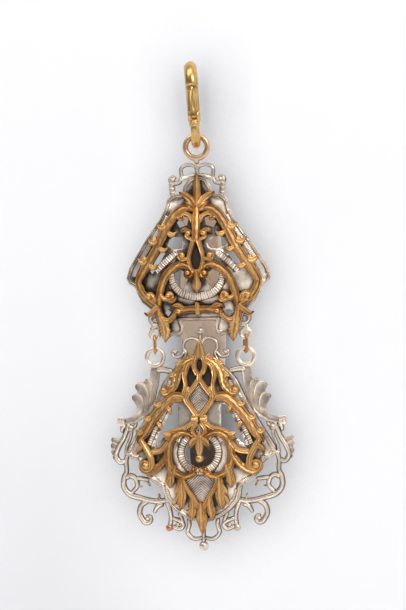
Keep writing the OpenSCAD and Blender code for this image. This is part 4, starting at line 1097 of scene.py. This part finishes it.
def sweep_mesh(wall_y, floor_z):
    """A wall that bends into a floor: a straight, a quarter circle and a straight, all carried
    sideways."""
    bend, high, far, wide = 0.02, 0.35, 1.6, 1.6
    turn = np.linspace(0, math.pi / 2, 13)
    y = np.concatenate([[wall_y], wall_y - bend + bend * np.cos(turn), [wall_y - far]])
    z = np.concatenate([[high], floor_z + bend - bend * np.sin(turn), [floor_z]])
    x = np.array([-wide, wide])
    points = np.stack(np.broadcast_arrays(x, y[:, None], z[:, None]), axis=-1)
    i = np.arange(len(y) - 1)
    faces = np.stack([2 * i, 2 * i + 2, 2 * i + 3, 2 * i + 1], axis=-1)
    mesh = bpy.data.meshes.new("sweep")
    mesh.from_pydata(points.reshape(-1, 3).tolist(), [], faces.tolist())
    mesh.shade_smooth()
    return mesh


def area_light(name, place, target, size, watts):
    """A soft light, wide and high as given, that faces its target."""
    light = bpy.data.lights.new(name, "AREA")
    light.shape = "RECTANGLE"
    light.size, light.size_y = size
    light.energy = watts
    lamp = bpy.data.objects.new(name, light)
    bpy.context.scene.collection.objects.link(lamp)
    lamp.location = place
    lamp.rotation_euler = (Vector(target) - Vector(place)).to_track_quat("-Z", "Y").to_euler()


# The image, the size of its pixels at the plates and the pixel of the top ring's centre
IMAGE_WIDE, IMAGE_HIGH = 406, 610
PIXEL = 0.305 * MM
RING_PIXEL = (196.4, 147.0)
PAINT, PAINT_GLOW = (0.82, 0.82, 0.83), 0.11
# How far the floor lies below the part
FLOOR_DROP = 0.065
# Place, width and height, and power of each light; all face the middle of the part
MIDDLE = (0, 0, -0.06)
LIGHTS = {
    "right_window": ((0.42, -0.62, 0.40), (0.30, 0.30), 2.9),
    "left_window": ((-0.48, -0.42, 0.68), (0.5, 0.5), 2.4),
    "overhead": ((0, -0.35, 0.75), (0.4, 0.4), 1.3),
    "low_card": ((0, -0.40, -0.65), (0.5, 0.5), 2.0),
    "front_card": ((-0.10, -0.85, -0.32), (0.7, 0.24), 4.6),
}


class CHATELAINE_OT_stage(bpy.types.Operator):
    """Sets the pale wall and floor, the shaded sheet, the soft lights and the camera."""

    bl_idname = "chatelaine.stage"
    bl_label = "Stage, lights and camera"

    def execute(self, context):
        scene = context.scene
        look = scene.chatelaine_stage
        scene.view_settings.view_transform = "Standard"
        sweep = bpy.data.objects.new("sweep", sweep_mesh(look.wall_gap, CAD_BOX[0].z - FLOOR_DROP))
        sweep.data.materials.append(stage_material("pale_paint", PAINT, PAINT_GLOW))
        for thing in (sweep, shaded_sheet("shaded_sheet", look.sheet_gap, look.reach)):
            scene.collection.objects.link(thing)
        self.lights(scene)
        self.camera(scene, look)
        return {"FINISHED"}

    def lights(self, scene):
        """A room that is bright on the right, darker on the left and dim behind the camera, as the
        product of a glow from front to back and one from left to right, with three soft windows
        and two cards below."""
        scene.world = bpy.data.worlds.new("room")
        tree = blank(scene.world)
        way = node(tree, "SeparateXYZ", node(tree, "TexCoord").outputs["Generated"]).outputs
        front = node(tree, "MapRange", way["Y"], From_Min=-0.97, From_Max=-0.35, To_Min=0.30,
                     To_Max=0.80)
        front.interpolation_type = "SMOOTHSTEP"
        side = node(tree, "MapRange", way["X"], From_Min=-1, From_Max=1, To_Min=0.30, To_Max=1.35)
        both = node(tree, "Math", front.outputs["Result"], side.outputs["Result"])
        both.operation = "MULTIPLY"
        glow = node(tree, "Background", (0.97, 0.975, 1.0, 1), both.outputs["Value"])
        node(tree, "OutputWorld", glow.outputs["Background"])
        for name, (place, size, watts) in LIGHTS.items():
            area_light(name, place, MIDDLE, size, watts)

    def camera(self, scene, look):
        """Long lens at the photograph's angle: the ring's centre falls on its own pixel."""
        right = Vector((math.cos(look.azimuth), math.sin(look.azimuth), 0))
        up = Vector((0, 0, 1))
        right, up = (right * math.cos(look.lean) - up * math.sin(look.lean),
                     up * math.cos(look.lean) + right * math.sin(look.lean))
        back = right.cross(up)
        ring = Vector((AXIS_X, 0, AXIS_Z)) * MM
        centre = (ring - right * (RING_PIXEL[0] - IMAGE_WIDE / 2) * PIXEL
                  + up * (RING_PIXEL[1] - IMAGE_HIGH / 2) * PIXEL)
        data = bpy.data.cameras.new("camera")
        data.lens = data.sensor_width * look.distance / (IMAGE_HIGH * PIXEL)
        data.clip_start, data.clip_end = 0.05, 10
        camera = bpy.data.objects.new("camera", data)
        scene.collection.objects.link(camera)
        turned = Matrix((right, up, back)).transposed().to_4x4()
        turned.translation = centre + back * look.distance
        camera.matrix_world = turned
        scene.camera = camera


OPERATORS = (
    CHATELAINE_OT_smooth_metal,
    CHATELAINE_OT_plates,
    CHATELAINE_OT_plate_trim,
    CHATELAINE_OT_upper_overlay,
    CHATELAINE_OT_lower_frame,
    CHATELAINE_OT_lower_overlay,
    CHATELAINE_OT_stage,
)


class CHATELAINE_PT_panel(bpy.types.Panel):
    """Lists the chatelaine's settings and the operators that make its pieces."""

    bl_idname = "CHATELAINE_PT_panel"
    bl_label = "Chatelaine"
    bl_space_type = "VIEW_3D"
    bl_region_type = "UI"
    bl_category = "Chatelaine"

    def draw(self, context):
        for name in SETTINGS:
            settings, box = getattr(context.scene, name), self.layout.box()
            for setting in settings.__annotations__:
                box.prop(settings, setting)
        for operator in OPERATORS:
            self.layout.operator(operator.bl_idname)


SETTINGS = {
    "chatelaine_sizes": ChatelaineSizes,
    "chatelaine_colours": ChatelaineColours,
    "chatelaine_stage": ChatelaineStage,
}
CLASSES = (*SETTINGS.values(), *OPERATORS, CHATELAINE_PT_panel)


def register():
    for group in CLASSES:
        bpy.utils.register_class(group)
    for name, group in SETTINGS.items():
        setattr(bpy.types.Scene, name, PointerProperty(type=group))


def unregister():
    for name in SETTINGS:
        delattr(bpy.types.Scene, name)
    for group in reversed(CLASSES):
        bpy.utils.unregister_class(group)


def main():
    register()
    for operator in OPERATORS:
        group, name = operator.bl_idname.split(".")
        getattr(getattr(bpy.ops, group), name)()


if __name__ == "__main__":
    main()
